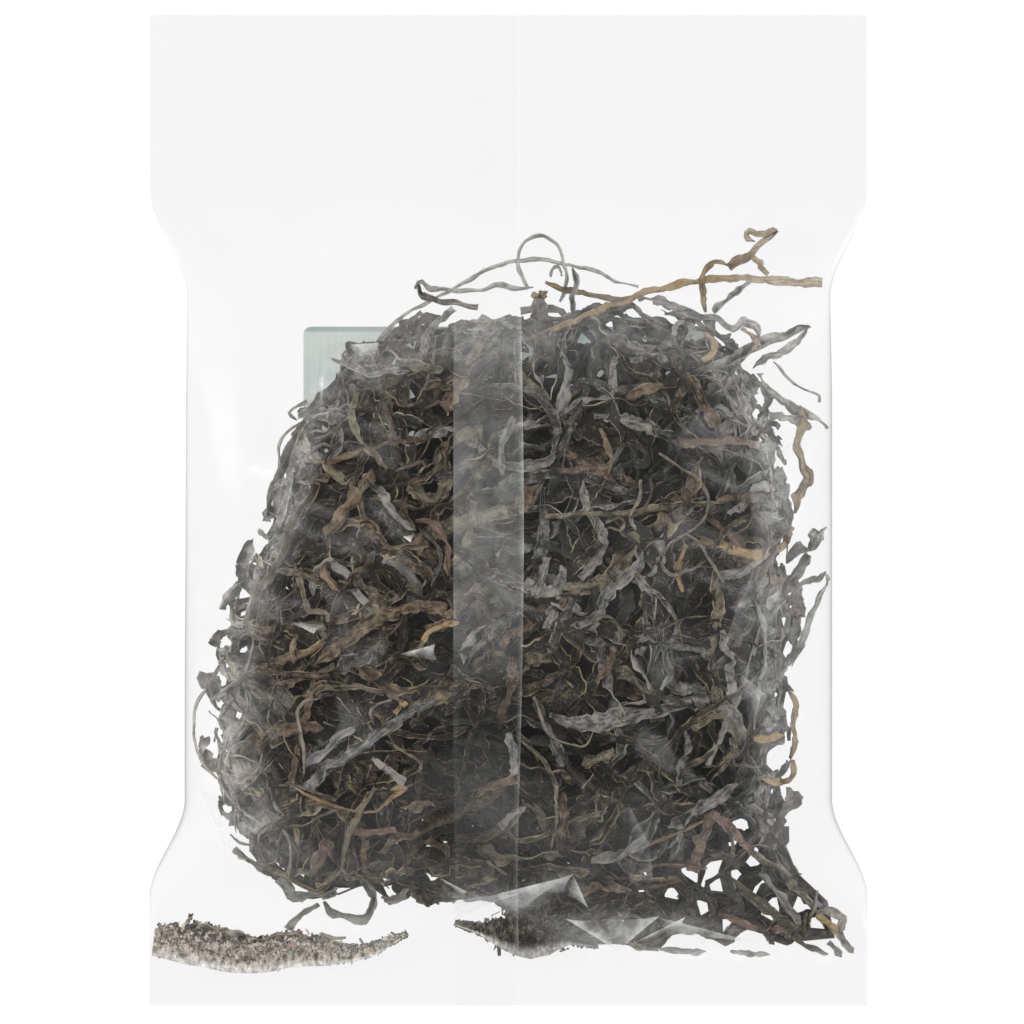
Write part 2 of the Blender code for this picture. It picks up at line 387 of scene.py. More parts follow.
_x, _y = np.meshgrid(MAP_X, MAP_Y)
OUT_MAP = outwardness(_x, _y)
FLOOR_MAP = front_skin(_x, _y) + 0.0002
CEILING_MAP = np.maximum(back_skin(_x, _y) - UNDER_FILM, FLOOR_MAP)
_rounding = np.sqrt(np.clip(1.0 - np.clip(OUT_MAP, 0.0, 1.0) ** 6, 0.02, 1.0))
_hollows = UNEVENNESS * (1.0 + rumple(_x, _y, 17, 14, 0.012, 0.03)) * ramp(OUT_MAP, 1.0, 0.75)
_hollows += FOOT_HOLLOW * bell(_x, 0.002, 0.046) * bell(_y, -0.082, 0.022)
HEAP_MAP = FLOOR_MAP + (CEILING_MAP - FLOOR_MAP) * _rounding - _hollows
HEAP_MAP = np.maximum(HEAP_MAP, FLOOR_MAP + 0.0006)
SLOPE_Y, SLOPE_X = np.gradient(CEILING_MAP, MAP_STEP)
BLOCKED = np.zeros(OUT_MAP.shape, bool)
NEAR_GAP = np.zeros(OUT_MAP.shape, bool)
for _gap_x, _gap_y, _radius in GAPS:
    BLOCKED |= np.hypot(_x - _gap_x, _y - _gap_y) < _radius + corner_share(_gap_x, _gap_y) * 0.2 * MM
    NEAR_GAP |= np.hypot(_x - _gap_x, _y - _gap_y) < _radius + 0.7 * MM
print("heap map", HEAP_MAP.shape, "cells")


def cell(x, y):
    """Row and column of the map cell at each point."""
    column = np.clip(np.rint((x - MAP_X[0]) / MAP_STEP).astype(int), 0, len(MAP_X) - 1)
    row = np.clip(np.rint((y - MAP_Y[0]) / MAP_STEP).astype(int), 0, len(MAP_Y) - 1)
    return row, column


# %% [markdown]
# ## One strip
#
# A strip of dried kelp is a ribbon 1 to 4 mm wide and about a third of a millimetre thick. Drying
# curls it across its width, pleats it lengthwise, tears its edges and twists it. A ribbon mesh
# carries one flat profile of ten points, five over the top and five back underneath, along a path.
# At each step along the path three directions make a frame: forward, sideways and up. The profile is
# laid out sideways and thickened upwards, and turning the frame about forward twists the strip.

# %% Ribbons
ACROSS = np.array([-1.0, -0.5, 0.0, 0.5, 1.0])
PROFILE_SIDE = np.concatenate([ACROSS, ACROSS[::-1]])
PROFILE_FACE = np.repeat([1.0, -1.0], len(ACROSS))
PROFILE_FULL = 0.7 + 0.3 * np.abs(PROFILE_SIDE)
PROFILE_PLEAT = np.cos(2.0 * np.pi * PROFILE_SIDE)


def unit(vectors):
    return vectors / np.maximum(np.linalg.norm(vectors, axis=-1, keepdims=True), 1e-9)


def ribbon_frames(path, up, tilt):
    """Sideways and up for each step: up leans to stay square to the path, then both turn by tilt."""
    forward = unit(np.gradient(path, axis=-2))
    side = unit(np.cross(up, forward))
    above = np.cross(forward, side)
    cosine, sine = np.cos(tilt)[..., None], np.sin(tilt)[..., None]
    return side * cosine + above * sine, above * cosine - side * sine


def ribbon_points(path, up, form):
    """Point = path + sideways * half width * across * tear + up * (cup + pleat + ruffle + half
    thickness): tear shortens each edge on its own, cup bends the width into an arc, pleat folds it
    lengthwise, and ruffle lifts each edge in waves of its own."""
    side, above = ribbon_frames(path, up, form["tilt"])
    half = 0.5 * form["width"][:, None]
    cup = form["cup"][:, None]
    left, right = np.maximum(-PROFILE_SIDE, 0.0) ** 2, np.maximum(PROFILE_SIDE, 0.0) ** 2
    tear = 1.0 - left * form["left_tear"][:, None] - right * form["right_tear"][:, None]
    across = PROFILE_SIDE * half * tear / (1.0 + 0.35 * cup**2)
    bend = cup * (PROFILE_SIDE**2 - 0.4) * half + PROFILE_PLEAT * form["pleat"][:, None]
    ruffle = left * form["left_edge"][:, None] + right * form["right_edge"][:, None]
    lift = bend + ruffle + PROFILE_FACE * PROFILE_FULL * 0.5 * form["thickness"]
    return path[:, None, :] + side[:, None, :] * across[..., None] + above[:, None, :] * lift[..., None]


def ribbon_quads(steps, profile):
    """The faces of one closed ribbon: its sides, and the two ends zipped top to bottom."""
    sides = grid_quads(steps, profile, closed=True)[:, ::-1]
    low = np.arange(profile // 2 - 1)
    end = np.stack([low, low + 1, profile - 2 - low, profile - 1 - low], axis=-1)
    return np.concatenate([sides, end, (end + (steps - 1) * profile)[:, ::-1]])


# %% [markdown]
# ## Dropping the strips into a heap
#
# Strips that are only scattered cut through each other. Here each strip is laid on those before it.
# One map holds the height of the heap so far. A new strip reads it under its whole path. It is
# stiff, so it bridges the dips instead of following them, and then it raises the map where it lies.
# Any part that would come out through the film is pressed back under it, as the real film does.

# %% Laying
heap = {"top": FLOOR_MAP.copy(), "covered": np.zeros(OUT_MAP.shape, bool)}


def blurred(values, spread):
    """Each value mixed with its neighbours along the strip, by a bell curve."""
    reach = int(3 * spread)
    weights = np.exp(-0.5 * (np.arange(-reach, reach + 1) / spread) ** 2)
    padded = np.pad(values, reach, mode="edge")
    return np.convolve(padded, weights / weights.sum(), mode="valid")


def lay_strip(xy, form, sway, stiffness, spare):
    """The path's heights: the highest ground nearby, smoothed, plus the strip's own sway, and no
    more than spare over the heap's surface. The map is raised to the strip's upper face."""
    forward = unit(np.gradient(xy, axis=0))
    side = np.stack([-forward[:, 1], forward[:, 0]], axis=-1)
    half = 0.5 * form["width"]
    flat = np.abs(np.cos(form["tilt"])) * half
    tall = np.abs(np.sin(form["tilt"])) * half + 0.5 * form["thickness"]
    offsets = np.array([-0.8, 0.0, 0.8])[:, None, None]
    under = xy[None] + side[None] * flat[None, :, None] * offsets
    rows, columns = cell(under[..., 0], under[..., 1])
    ground = heap["top"][rows, columns].max(axis=0)
    nearby = np.max([np.pad(ground, 2, mode="edge")[i:i + len(ground)] for i in range(5)], axis=0)
    height = blurred(0.6 * nearby + 0.4 * ground, stiffness) + tall + sway
    roof = np.minimum(HEAP_MAP + spare, CEILING_MAP)[rows, columns].min(axis=0) - tall
    height = np.maximum(np.minimum(height, roof), FLOOR_MAP[rows, columns].max(axis=0) + tall)
    finer = np.linspace(-1.0, 1.0, 7)[:, None, None]
    cover = xy[None] + side[None] * flat[None, :, None] * finer
    cover = np.concatenate([cover, 0.5 * (cover[:, 1:] + cover[:, :-1])], axis=1)
    top = height + tall
    top = np.concatenate([top, 0.5 * (top[1:] + top[:-1])])
    rows, columns = cell(cover[..., 0], cover[..., 1])
    np.maximum.at(heap["top"], (rows, columns), np.broadcast_to(top, rows.shape))
    heap["covered"][rows, columns] = True
    return height


def kept_inside(points):
    """Each cross-section moved up off the floor, then down under the film, as far as it needs."""
    rows, columns = cell(points[..., 0], points[..., 1])
    sunk = np.maximum(FLOOR_MAP[rows, columns] - points[..., 2], 0.0).max(axis=1, keepdims=True)
    points[..., 2] += sunk
    proud = np.maximum(points[..., 2] - CEILING_MAP[rows, columns], 0.0).max(axis=1, keepdims=True)
    points[..., 2] -= proud
    return points


# %% [markdown]
# ## Paths for the strips
#
# The heading of a strip wanders as it goes. Two slow waves bend it, quick small waves and a few
# sharp kinks crinkle it, and some strips hook round at one end. Adding up the steps gives the path.
# Paths that would leave the heap are drawn back to just inside its outline, and follow it round.

# %% Paths
def wandering_paths(random, starts, headings, length, steps, curl):
    """Paths through the starts: heading = start + two slow waves + crinkle + kinks + a hook."""
    count = len(starts)
    s = np.linspace(0.0, 1.0, steps)[None, :]
    heading = np.repeat(headings[:, None], steps, axis=1)
    crinkles = length / (7.0 * MM)
    for size, slowest, fastest in ((0.45 * curl, 0.4, 0.9), (0.18 * curl, 1.2, 2.8),
                                   (0.13, 0.5 * crinkles, crinkles), (0.13, crinkles, 2.5 * crinkles)):
        rate = random.uniform(slowest, fastest, (count, 1))
        phase = random.random((count, 1))
        heading += random.normal(0.0, size, (count, 1)) * np.sin(2.0 * np.pi * (rate * s + phase))
    for _ in range(5):
        place = random.uniform(0.02, 0.95, (count, 1))
        heading += random.normal(0.0, 0.33, (count, 1)) * ramp(s, place, place + 0.03)
    hooked = np.where(random.random((count, 1)) < 0.22, 2.5, 0.5)
    heading += hooked * random.normal(0.0, 0.7, (count, 1)) * ramp(s, 0.6, 1.0)
    stride = length / (steps - 1)
    x = np.cumsum(np.cos(heading) * stride, axis=1)
    y = np.cumsum(np.sin(heading) * stride, axis=1)
    x += starts[:, :1] - x.mean(axis=1, keepdims=True)
    y += starts[:, 1:] - y.mean(axis=1, keepdims=True)
    return np.stack([x, y], axis=-1)


def drawn_in(paths, limit):
    """Paths with their outwardness eased towards limit, so that they bend along the outline."""
    out = outwardness(paths[..., 0], paths[..., 1])
    soft = limit - 0.12
    eased = np.where(out > soft, soft + 0.12 * np.tanh((out - soft) / 0.12), out)
    share = (eased / np.maximum(out, 1e-6))[..., None]
    return HEAP_MIDDLE + (paths - HEAP_MIDDLE) * share


def through(points, steps):
    """A smooth path through a few points, evenly spaced: a Catmull-Rom curve, resampled."""
    points = np.asarray(points, float).reshape(-1, 2) * MM
    padded = np.concatenate([2 * points[:1] - points[1:2], points, 2 * points[-1:] - points[-2:-1]])
    spans = len(points) - 1
    t = np.linspace(0.0, spans, 16 * spans + 1)
    i = np.minimum(t.astype(int), spans - 1)
    u = (t - i)[:, None]
    a, b, c, d = padded[i], padded[i + 1], padded[i + 2], padded[i + 3]
    curve = 0.5 * (2 * b + (c - a) * u + (2 * a - 5 * b + 4 * c - d) * u**2
                   + (3 * b - a - 3 * c + d) * u**3)
    run = np.concatenate([[0.0], np.cumsum(np.linalg.norm(np.diff(curve, axis=0), axis=1))])
    even = np.linspace(0.0, run[-1], steps)
    return np.stack([np.interp(even, run, curve[:, k]) for k in range(2)], axis=-1), run[-1]


# %% [markdown]
# ## Filling the bag
#
# A cut strip is never quite flat. It may be rolled up into a tube, its width is ragged, and its ends
# are torn to a point or cut blunt. The usual heading of the strips changes over the heap: they rise
# to the right on the left side, and lie level along the foot.
#
# Strips bend round the gaps in the heap, and of some random places each strip takes the one with the
# most room left. Those deep in the heap are darker, because little light reaches them.

# %% Strip shapes
random = np.random.default_rng(11)
strips = {"dark": [], "olive": [], "brown": [], "grey": [], "russet": [], "amber": [], "thread": [],
          "lower": []}


def wave(s, size, slowest, fastest):
    """A sine wave along the strip, of random rate and phase."""
    rate, phase = random.uniform(slowest, fastest), random.random()
    return size * np.sin(2.0 * np.pi * (rate * s + phase))


def tears(steps, size):
    """How far one edge is torn in: a ragged line, with a few deeper notches."""
    ragged = np.abs(blurred(random.normal(0.0, size, steps), 0.5))
    notches = (random.random(steps) < 0.05) * random.uniform(0.1, 0.5, steps)
    return np.clip(ragged + blurred(notches, 0.5), 0.0, 0.7)


def strip_form(steps, width, length, twist=1.0):
    """Width, tilt, cup, edges and thickness along one strip."""
    s = np.linspace(0.0, 1.0, steps)
    waviest = 1.0 + length / (7.0 * MM)
    sides = 1.0 + wave(s, 0.18, 1.0, 3.0) + blurred(random.normal(0.0, 0.12, steps), 1.5)
    tip = random.choice([0.12, 0.5, 0.95], 2)
    start = tip[0] + (1.0 - tip[0]) * ramp(s, 0.0, 0.16)
    end = tip[1] + (1.0 - tip[1]) * ramp(s, 1.0, 0.84)
    tilt = twist * (random.normal(0.0, 0.35) + wave(s, random.normal(0.0, 0.5), 0.6, 1.8))
    tilt = tilt + wave(s, 0.2 * twist, 0.5 * waviest, waviest)
    if random.random() < 0.25 * twist:
        begin = random.uniform(0.0, 0.5)
        tilt = tilt + random.choice([-1, 1]) * np.pi * ramp(s, begin, begin + random.uniform(0.2, 0.4))
    rolled = random.choice([-1.3, 1.3]) if random.random() < 0.15 else random.normal(0.0, 0.4)
    ruffle = random.uniform(0.05, 0.2) * width
    return {
        "width": width * np.maximum(sides * start * end, 0.12),
        "tilt": tilt,
        "cup": rolled + wave(s, 0.3, 0.7, 2.5),
        "pleat": width * (0.04 * random.normal() + wave(s, 0.05, 0.7, waviest)),
        "left_tear": tears(steps, 0.24),
        "right_tear": tears(steps, 0.24),
        "left_edge": wave(s, ruffle, 0.4 * waviest, waviest),
        "right_edge": wave(s, ruffle, 0.4 * waviest, waviest),
        "thickness": random.uniform(0.20, 0.34) * MM,
    }


def surface_up(xy):
    """Straight up from the film above: its slopes along x and y, read from the map, and 1."""
    rows, columns = cell(xy[..., 0], xy[..., 1])
    up = np.stack([-np.clip(SLOPE_X[rows, columns], -1.2, 1.2),
                   -np.clip(SLOPE_Y[rows, columns], -1.2, 1.2),
                   np.ones(rows.shape)], axis=-1)
    return unit(up)


def painted_rim_light_share(xy, kind):
    """How much painted light pales a strip, standing for film haze and light through the thin heap
    from behind: more towards the heap's rim and beyond it, but little along the foot of the heap,
    under its top edge, or on amber, russet and dark strips."""
    x, y = xy[:, 0], xy[:, 1]
    out = outwardness(x, y)
    foot = 0.25 + 0.75 * ramp(y, -0.096, -0.078) + 0.4 * corner_share(x, y)
    middle = np.maximum(ramp(np.abs(x - HEAP_MIDDLE[0]), 0.040, 0.056), 0.7 * ramp(out, 0.99, 1.06))
    share = ramp(out, 0.82, 0.99) * np.minimum(foot, 1.0) * (0.4 + 0.6 * middle)
    share = np.maximum(share, 0.25 * corner_share(x, y))
    amber = 0.6 * ramp(x, 0.044, 0.070) * ramp(y, -0.02, 0.02)
    return share * {"amber": amber, "russet": 0.5, "dark": 0.4}.get(kind, 1.0)


def place_strip(kind, xy, form, lift=1.1 * MM, spare=1.4 * MM, shade=None, edging=1.0, rim_lighting=1.0):
    """Lays one strip and keeps its points, its length so far, its shade, how pale its edges are,
    and how much painted rim light pales it, less deep down the heap's side walls."""
    s = np.linspace(0.0, 1.0, len(xy))
    sway = np.abs(wave(s, random.uniform(0.3, 1.0) * lift, 0.6, 1.6)) * 2.0 - 0.2 * lift
    crinkled = blurred(random.normal(0.0, 0.40 * MM, len(xy)), 1.2)
    height = lay_strip(xy, form, sway + crinkled, random.uniform(2.0, 4.5), spare)
    path = np.concatenate([xy, height[:, None]], axis=1)
    points = kept_inside(ribbon_points(path, surface_up(xy), form))
    run = np.concatenate([[0.0], np.cumsum(np.linalg.norm(np.diff(path, axis=0), axis=1))])
    # Painted shade: random strips low in the middle of the heap are darkened, and their pale edges dimmed,
    # where little light falls.
    low = bell(xy[:, 0].mean(), 0.002, 0.032) * bell(xy[:, 1].mean(), -0.072, 0.024)
    light = random.random() * (1.0 - 0.9 * low) if shade is None else shade
    left = ramp(xy[:, 0].mean(), -0.005, -0.03)
    edging = edging * random.random() ** (1.5 - 0.8 * left)
    if shade is None:
        edging *= 1.0 - 0.6 * low
    # Painted light: the rim attribute pales the strip towards grey-white, less deep down the side walls.
    wall = ramp(height, 0.030, 0.012) * ramp(outwardness(*xy.T), 1.06, 1.0)
    rim = rim_lighting * painted_rim_light_share(xy, kind) * (1.0 - 0.65 * wall)
    values = {"shade": np.full(len(xy), light), "edging": np.full(len(xy), edging),
              "rim": rim}
    strips[kind].append((points, run, values))


# %% Filling
LOWER_STRIPS, LOWER_STEPS = 190, 22
DEEP_STRIPS, DEEP_STEPS = 170, 28
UNDER_STRIPS, UNDER_STEPS = 330, 14
COVER_STRIPS, COVER_STEPS = 170, 22
NEAR_STRIPS, NEAR_STEPS = 330, 50
THREADS, THREAD_STEPS = 60, 40
TRIES = 14


def random_spots(count):
    """Points spread evenly over the heap: a random direction, and the root of a random share."""
    angle = random.uniform(-np.pi, np.pi, count)
    radius = outline_radius(angle)
    kept = random.random(count) < radius**2 / OUTLINE_RADIUS.max() ** 2
    out = np.sqrt(random.random(count)) * radius
    spots = HEAP_MIDDLE + np.stack([out * np.cos(angle), out * np.sin(angle)], axis=-1)
    return spots[kept]


def grain_direction(x, y):
    """The usual heading of strips at a place: rising to the right at the left, level at the foot."""
    return 0.35 + 0.45 * ramp(x, 0.0, -0.05) - 0.35 * ramp(y, -0.06, -0.10)


def around_gaps(paths, width):
    """Paths bent round the gaps: distance from a gap + reach * exp(-(distance / 1.2 reach)^2). They
    also stay clear of the bottom crease."""
    for gap_x, gap_y, radius in GAPS:
        away = paths - (gap_x, gap_y)
        distance = np.maximum(np.linalg.norm(away, axis=-1, keepdims=True), 1e-6)
        reach = radius + (0.22 + 0.08 * corner_share(gap_x, gap_y)) * width
        paths = paths + away / distance * reach * np.exp(-((distance / (1.2 * reach)) ** 2))
    spare = np.linspace(0.8, 3.5, len(paths))[:, None] * MM * (1.0 + 0.3 * ramp(paths[..., 0], 0.02, 0.035))
    lowest = crease_y(paths[..., 0]) + 0.5 * width + spare
    return np.stack([paths[..., 0], np.maximum(paths[..., 1], lowest)], axis=-1)


def crosses_gap(paths):
    """Whether each path still has a point in a gap, looking at points halfway between steps too."""
    halfway = 0.5 * (paths[:, 1:] + paths[:, :-1])
    rows, columns = cell(*np.moveaxis(np.concatenate([paths, halfway], axis=1), -1, 0))
    return BLOCKED[rows, columns].any(axis=1)


def pick_kind(x, y, deep):
    """More brown strips on the left, more grey ones on the right, and few russet and amber ones. The
    extra dark ones deep in the heap and low in its middle are painted shade, where little light falls."""
    left = ramp(x, 0.025, -0.03)
    low = bell(x, 0.005, 0.035) * bell(y, -0.065, 0.03)
    foot = ramp(y, -0.060, -0.076)
    chances = np.array([0.12 + 0.06 * left + 0.25 * deep + 0.5 * low, 0.24 + 0.10 * foot,
                        0.10 + 0.36 * left + 0.22 * foot, (0.52 - 0.40 * left - 0.1 * low) * (1.0 - 0.5 * foot),
                        0.020, 0.006])
    return random.choice(["dark", "olive", "brown", "grey", "russet", "amber"], p=chances / chances.sum())


def fill_heap(count, steps, surface, widths, lengths, curls, kind=None, deep=False):
    """Lays strips where surface still leaves the most room over the heap so far."""
    laid = 0
    for _ in range(count):
        length = random.uniform(*lengths) * MM
        width = np.clip(random.gamma(7.0, widths[1] / 7.0), widths[0], widths[2]) * MM
        spots = random_spots(3 * TRIES)[:TRIES]
        turn = grain_direction(spots[:, 0], spots[:, 1]) + random.normal(0.0, 0.75, len(spots))
        paths = wandering_paths(random, spots, turn, length, steps, random.choice(curls))
        paths = around_gaps(drawn_in(paths, random.uniform(0.93, 1.03)), width)
        rows, columns = cell(paths[..., 0], paths[..., 1])
        room = np.percentile(surface[rows, columns] - heap["top"][rows, columns], 30, axis=1)
        room[crosses_gap(paths)] = -1.0
        chosen = int(np.argmax(room))
        if room[chosen] < 0.4 * MM:
            continue
        best = paths[chosen]
        shade = random.uniform(0.0, 0.5) if deep else None
        place_strip(kind or pick_kind(*best.mean(axis=0), deep), best, strip_form(steps, width, length),
                    shade=shade, edging=0.5 if deep else 1.0)
        laid += 1
    gap = (HEAP_MAP - heap["top"])[OUT_MAP < 0.9] / MM
    print(laid, "of", count, "laid; room left", np.percentile(gap, [5, 50, 95]).round(1), "mm")


def cover_rim(count, steps, widths, kind=None):
    """Lays strips where nothing covers the rim of the heap yet, but for the gaps."""
    laid = 0
    for _ in range(count):
        bare = ~heap["covered"] & ~NEAR_GAP & (OUT_MAP > 0.5) & (OUT_MAP < 0.955)
        rows, columns = np.nonzero(bare)
        if len(rows) < 300:
            break
        picked = random.integers(0, len(rows), 2 * TRIES)
        spots = np.stack([MAP_X[columns[picked]], MAP_Y[rows[picked]]], axis=-1)
        length, width = random.uniform(14, 40) * MM, random.uniform(*widths) * MM
        turn = grain_direction(spots[:, 0], spots[:, 1]) + random.normal(0.0, 0.9, len(spots))
        paths = wandering_paths(random, spots, turn, length, steps, 0.6)
        paths = around_gaps(drawn_in(paths, random.uniform(0.93, 1.02)), width)
        score = bare[cell(paths[..., 0], paths[..., 1])].mean(axis=1)
        score[crosses_gap(paths)] = -1.0
        best = paths[int(np.argmax(score))]
        if score.max() > 0.1:
            # Painted shade: strips over the rim are shaded as deep ones, with darker kinds, a low shade and dim
            # edges.
            place_strip(kind or pick_kind(*best.mean(axis=0), True), best,
                        strip_form(steps, width, length, 0.5), lift=0.5 * MM,
                        shade=random.uniform(0.1, 0.6), edging=0.5)
            laid += 1
    print(laid, "of", count, "laid over the rim;", len(rows), "cells still bare")


def set_out(rows):
    """Lays the strips of a list of kind, width and points."""
    for kind, width, spots in rows:
        xy, length = through(spots, 12)
        steps = int(np.clip(length / (0.8 * MM), 10, 90))
        xy, length = through(spots, steps)
        form = strip_form(steps, width * MM, length, twist=0.5)
        loose = (0.05 + 0.11 * width) * MM
        wiggle = blurred(random.normal(0.0, loose, 2 * steps), 1.4).reshape(2, steps).T
        darkest = 0.65 if kind == "amber" else 0.4 + 0.3 * ramp(xy[:, 1].mean(), -0.060, -0.076)
        shade = random.uniform(darkest, 1.0)
        place_strip(kind, xy + wiggle, form, lift=0.5 * MM, spare=4.5 * MM, shade=shade, rim_lighting=0.75)


STRIP_WIDTHS = (1.0, 3.4, 6.0)
FOOT_STRIPS = [  # the lowest of all, where the heap is thin behind the bottom crease
    ("lower", 6.0, [-36, -87, -24, -90, -12, -90.5, -2, -92]), ("lower", 6.0, [-34, -80, -20, -83, -4, -82]),
    ("lower", 6.0, [-4, -86, 8, -87, 22, -84]), ("lower", 6.0, [0, -96, 12, -97, 24, -100]),
    ("lower", 6.0, [-30, -74, -16, -77, -2, -75]), ("lower", 6.0, [2, -79, 14, -80, 28, -77]),
    ("lower", 6.0, [4, -92, 18, -91, 32, -90]), ("lower", 6.0, [14, -104, 24, -104, 34, -98]),
]
set_out(FOOT_STRIPS)
fill_heap(LOWER_STRIPS, LOWER_STEPS, FLOOR_MAP + 3.0 * MM, (1.2, 3.0, 4.8), (24, 70), (0.6, 1.2),
          kind="lower")
cover_rim(UNDER_STRIPS, UNDER_STEPS, (3.6, 6.4), "lower")
heap["top"] = np.maximum(heap["top"], HEAP_MAP - SHELL_DEPTH)
fill_heap(DEEP_STRIPS, DEEP_STEPS, HEAP_MAP - 3.0 * MM, STRIP_WIDTHS, (24, 64), (0.6, 1.2), deep=True)
cover_rim(COVER_STRIPS, COVER_STEPS, (2.4, 5.0))
fill_heap(NEAR_STRIPS, NEAR_STEPS, HEAP_MAP + 1.2 * MM, STRIP_WIDTHS, (14, 64), (0.5, 1.0, 1.5))

# %% [markdown]
# ## The strips on top
#
# The strips that make this bag this one lie on top, and are set out one by one: an amber strip that
# runs off to the right, a thin arc and a loop over the empty film, the net of stems in the bottom
# right corner. Each is a kind, a width in millimetres and a few points, which one smooth curve joins.

